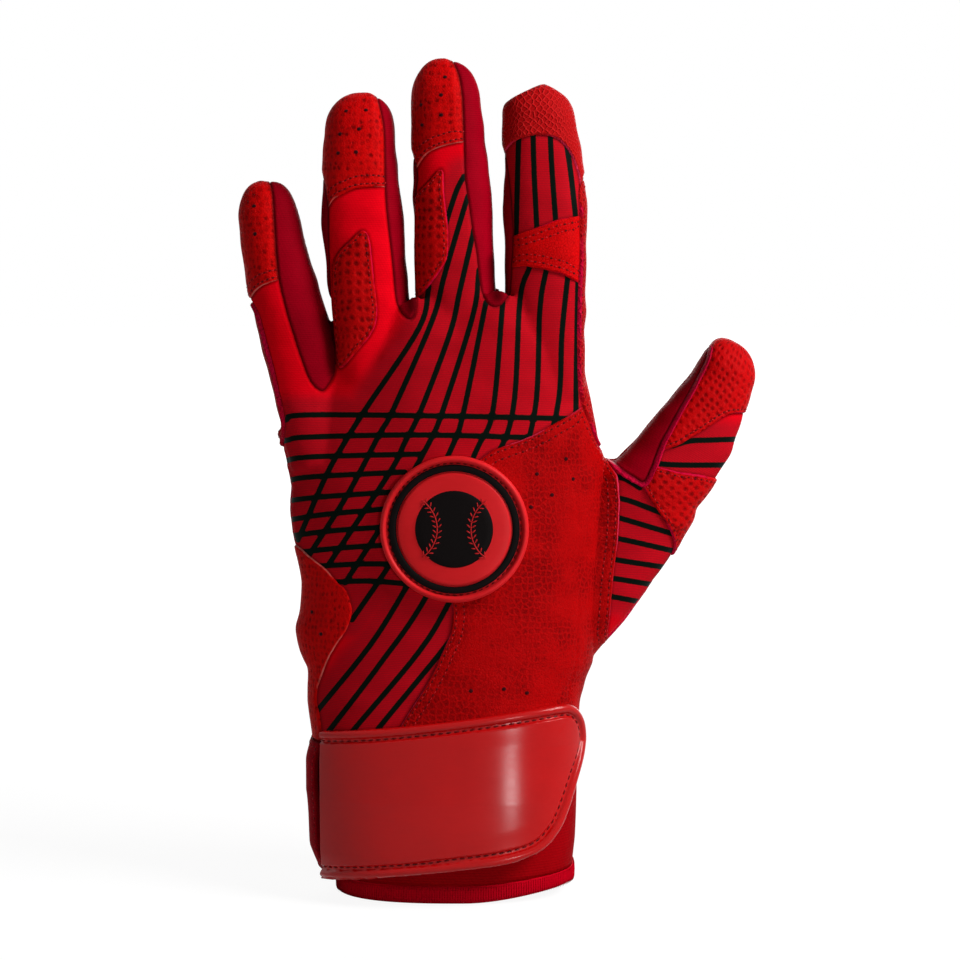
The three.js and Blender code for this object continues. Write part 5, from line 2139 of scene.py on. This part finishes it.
@dataclass
class Badge:
    """The round moulded badge on the back of the hand, with a plain ball motif."""

    tailor: Tailor
    centre: Pair = (-0.3, 105.0)
    seat: float = 0.4
    around: int = 144
    middle_hole: float = 0.02
    base: Line = (
        (0, 1.5), (17.2, 1.5), (17.9, 1.35), (18.35, 1.5), (18.5, 2.2), (18.8, 2.75), (19.2, 2.95),
        (19.6, 2.85), (19.95, 2.5), (20.2, 1.9), (20.2, 0.2),
    )
    ring: Line = ((15.9, 1.4), (15.95, 2.1), (16.2, 2.32), (17.5, 2.32), (17.75, 2.1), (17.8, 1.4))
    face: Line = ((0, 2.18), (14.9, 2.18), (15.4, 2.08), (15.6, 1.8), (15.6, 1.4))
    ball: Line = ((0, 2.42), (10.3, 2.42), (10.6, 2.22))
    seam_radius: float = 9.6
    seam_middle: float = 14.2
    seam_height: float = 2.44
    stitch_radius: float = 18.15
    bed: Array | None = None

    def build(self) -> None:
        """Fits a smooth bed to the hand and moulds the badge on it."""
        self.bed = self.fitted(self.tailor.ground())
        self.disc("badge_base", self.base, 0.15, BADGE_RUBBER)
        self.disc("badge_ring", self.ring, 1.35, DARK_RUBBER)
        self.disc("badge_face", self.face, 1.35, BADGE_RUBBER)
        self.disc("badge_ball", self.ball, 2.0, DARK_RUBBER)
        self.ball_seams()
        line = self.placed(circle(self.stitch_radius, np.linspace(0, TURN, 400)), 1.5)
        self.tailor.beads("badge_stitches", spaced(line, 1.9), (1.35, 0.42, 0.4), GROOVE_THREAD, "hand")

    def terms(self, x: Array, z: Array) -> Array:
        """The terms of the bed's smooth surface at places across the badge."""
        return np.stack([np.ones_like(x), x, z, x * x, x * z, z * z, x**4, x * x * z], 1)

    def fitted(self, ground: BVHTree) -> Array:
        """Fits the smooth surface that best follows the hand under the badge.

        Args:
            ground: The outer faces of what is sewn.

        Returns:
            A number for each of its terms.
        """
        places = []
        for x in np.linspace(-19, 19, 17):
            for z in np.linspace(-19, 19, 17):
                start = Vector((self.centre[0] + x, -80, self.centre[1] + z))
                hit = ground.ray_cast(start, Vector((0, 1, 0)))[0]
                if math.hypot(x, z) < 20 and hit is not None:
                    places.append((x, z, hit.y))
        x, z, y = np.array(places).T
        terms = self.terms(x, z)
        fit = np.linalg.lstsq(terms, y, rcond=None)[0]
        fit[0] += np.quantile(y - terms @ fit, 0.08)
        return fit

    def placed(self, places: Array, height: float) -> Array:
        """Lays places across the badge on its bed.

        Args:
            places: The places.
            height: How high over the bed they are.

        Returns:
            Rows of a place and an outward direction.
        """
        x, z = places.T
        _, bx, bz, bxx, bxz, bzz, b4, bq = self.bed
        dx = bx + 2 * bxx * x + bxz * z + 4 * b4 * x**3 + 2 * bq * x * z
        dz = bz + bxz * x + 2 * bzz * z + bq * x * x
        out = unit(np.stack([dx, -np.ones_like(x), dz], 1))
        points = np.stack([x + self.centre[0], self.terms(x, z) @ self.bed, z + self.centre[1]], 1)
        return np.hstack([points + out * (height - self.seat), out])

    def disc(self, name: str, profile: Sequence[Pair], under: float, finish: Finish) -> None:
        """Turns a profile round the badge's middle and closes it underneath.

        Args:
            name: The piece, and the solid it replaces where there is one.
            profile: Radii and heights, from the middle outwards.
            under: The height of its underside.
            finish: What it is made of.
        """
        inside, outside = profile[0][0], profile[-1][0]
        rows = [*dense(profile), *dense(((outside, under), (inside, under)))]
        if inside:
            rows += dense((rows[-1], profile[0]))
        rings = []
        for radius, height in rows:
            places = circle(max(radius, self.middle_hole), round_angles(self.around))
            rings.append(self.placed(places, height)[:, :3])
        sheet = hoop(np.array(rings)) if inside else loft(np.array(rings))
        a, b, c = sheet.corners(sheet.points)
        if (a * np.cross(b, c)).sum() < 0:
            sheet.faces = sheet.faces[:, ::-1]
        self.tailor.piece(name, mesh_of(name, sheet.points * MM, sheet.faces), finish, "hand")

    def ball_seams(self) -> None:
        """The plain ball's two sewn seams."""
        rows = []
        turns = np.linspace(-0.92, 0.92, 90)
        for side in (-1, 1):
            across = side * (self.seam_middle - self.seam_radius * np.cos(turns))
            line = self.placed(np.stack([across, self.seam_radius * np.sin(turns)], 1), self.seam_height)
            marks = spaced(line, 1.5)
            way = marks[:, 6:9]
            beside = np.cross(marks[:, 3:6], way)
            for lean in (-1, 1):
                tick = marks.copy()
                tick[:, 6:9] = unit(0.8 * way + lean * beside)
                tick[:, :3] += beside * lean * 0.75
                rows.append(tick)
            rows.append(spaced(line, 0.5))
        self.tailor.beads("badge_ball_seams", np.vstack(rows), (1.5, 0.4, 0.3), SEAM_RED, "hand")


@dataclass
class Sewing:
    """Stitches along the seams, and the holes punched for air."""

    tailor: Tailor
    needle_hole: Triple = (0.9, 0.66, 0.24)
    thread: Triple = (0.7, 0.3, 0.36)
    hole: Triple = (1.3, 1.15, 0.4)
    holes: Line = (
        (254, 206), (255, 234), (346, 111), (366, 110), (340, 134), (359, 129), (338, 153), (356, 152),
        (445, 77), (441, 95), (441, 115), (421, 105), (422, 125), (537, 474), (566, 459), (573, 479),
        (552, 495), (531, 507), (471, 691), (504, 689), (527, 693), (321, 634), (312, 612),
    )

    def build(self) -> None:
        """Sets the stitches and the holes, one piece of each for each segment."""
        self.tailor.mark("holes", self.punched())
        kinds = {
            "needle_holes": (self.needle_hole, NEEDLE_HOLE),
            "thread": (self.thread, THREAD),
            "holes": (self.hole, HOLE),
        }
        for kind, (size, finish) in kinds.items():
            beads = Repeat(kind)
            for segment in SEGMENTS:
                marks = self.tailor.small.get((kind, segment.name))
                if marks:
                    name = f"{kind}_{segment.name}"
                    mesh = beads.mesh(name, np.vstack(marks), size, finish)
                    segment.attach(self.tailor.piece(name, mesh, finish))

    def punched(self) -> Array:
        """Finds where the holes go through what is sewn.

        Returns:
            Rows of a place, its outward direction and a level direction.
        """
        ground, eye = self.tailor.ground(), Vector(VIEW.eye())
        found = []
        for place in self.holes:
            hit, out, _, _ = ground.ray_cast(eye, Vector(VIEW.ray(place)))
            if hit is not None:
                found.append((*hit, *out, *Vector((0, 0, 1)).cross(out)))
        return np.array(found)


@dataclass(frozen=True)
class Lamp:
    """A soft lamp that faces the glove, in metres."""

    name: str
    place: Triple
    size: Pair
    power: float
    aim: Triple = (0.01, 0, 0.12)

    def build(self) -> None:
        """Hangs the lamp."""
        data = bpy.data.lights.new(self.name, "AREA")
        data.shape = "RECTANGLE"
        data.size, data.size_y = self.size
        data.energy = self.power
        lamp = bpy.data.objects.new(self.name, data)
        lamp.location = self.place
        way = Vector(self.aim) - Vector(self.place)
        lamp.rotation_euler = way.to_track_quat("-Z", "Y").to_euler()
        bpy.context.scene.collection.objects.link(lamp)


@dataclass
class Studio:
    """The camera, the soft light and the pale floor."""

    sensor: float = 36.0
    ambient: float = 0.035
    white: Colour = (1, 1, 1, 1)
    floor_half: float = 6
    floor_colour: Colour = (0.45, 0.45, 0.45, 1)
    floor_glow: float = 1.22
    lamps: tuple[Lamp, ...] = (
        Lamp("key", (0.73, -0.32, 0.76), (0.4, 0.4), 11.8),
        Lamp("strip", (0.28, -0.74, 0.09), (0.085, 0.12), 1.25),
        Lamp("fill", (-0.95, 0.25, 0.3), (0.4, 0.8), 0.9),
        Lamp("back", (0.1, 0.95, 0.25), (0.6, 0.6), 5.0),
    )

    def build(self) -> None:
        """Sets the camera, the lamps, the world and the floor."""
        self.camera()
        for lamp in self.lamps:
            lamp.build()
        self.world()
        self.floor()

    def camera(self) -> None:
        """Sets the camera where the photograph was taken from."""
        scene = bpy.context.scene
        data = bpy.data.cameras.new("camera")
        data.sensor_width = self.sensor
        data.lens = self.sensor * VIEW.focal / VIEW.frame
        camera = bpy.data.objects.new("camera", data)
        camera.location = Vector(VIEW.eye()) * MM
        camera.rotation_euler = Vector(VIEW.axes()[2]).to_track_quat("-Z", "Y").to_euler()
        scene.collection.objects.link(camera)
        scene.camera = camera
        scene.view_settings.view_transform = "Standard"

    def world(self) -> None:
        """Sets a white surround that lights the glove softly."""
        world = bpy.data.worlds.new("studio")
        world.use_nodes = True
        bpy.context.scene.world = world
        tree = Tree(world.node_tree)
        soft = tree.tree.nodes["Background"]
        tree.feed(soft, {"Color": self.white, "Strength": self.ambient})
        plain = tree.signal("ShaderNodeBackground", None, {"Color": self.white, "Strength": 1.0})
        mix = tree.signal("ShaderNodeMixShader", None, {0: tree.seen(), 1: soft.outputs[0], 2: plain})
        tree.feed(tree.tree.nodes["World Output"], {"Surface": mix})

    def floor(self) -> None:
        """Lays a pale floor that keeps a little of the glove's shadow."""
        points = self.floor_half * np.array([(-1, -1, 0), (1, -1, 0), (1, 1, 0), (-1, 1, 0)], float)
        floor = bpy.data.objects.new("floor", mesh_of("floor", points, np.array([(0, 1, 2), (0, 2, 3)])))
        bpy.context.scene.collection.objects.link(floor)
        shader = Shader("pale_floor")
        shader.finish(self.floor_colour, 0.9, 0.5)
        glow = shader.signal("ShaderNodeEmission", None, {"Strength": self.floor_glow})
        away = shader.node("ShaderNodeVectorMath", {"operation": "LENGTH"}, {0: shader.place()})
        far = Signal(shader, away.outputs["Value"]).eased(0.2, 1.2)
        share = shader.seen() * (0.75 + far * 0.25)
        mix = shader.signal("ShaderNodeMixShader", None, {0: share, 1: shader.surface.outputs[0], 2: glow})
        shader.feed(shader.tree.nodes["Material Output"], {"Surface": mix})
        floor.data.materials.append(shader.material)


def main() -> None:
    """Builds the glove and its studio."""
    logging.basicConfig(level=logging.INFO, format="%(message)s")
    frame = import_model()
    Studio().build()
    tailor = Tailor(frame["nodes"])
    Panels(tailor).build(Skin().build())
    Wristband(tailor).build()
    Badge(tailor).build()
    Sewing(tailor).build()


if __name__ == "__main__":
    main()
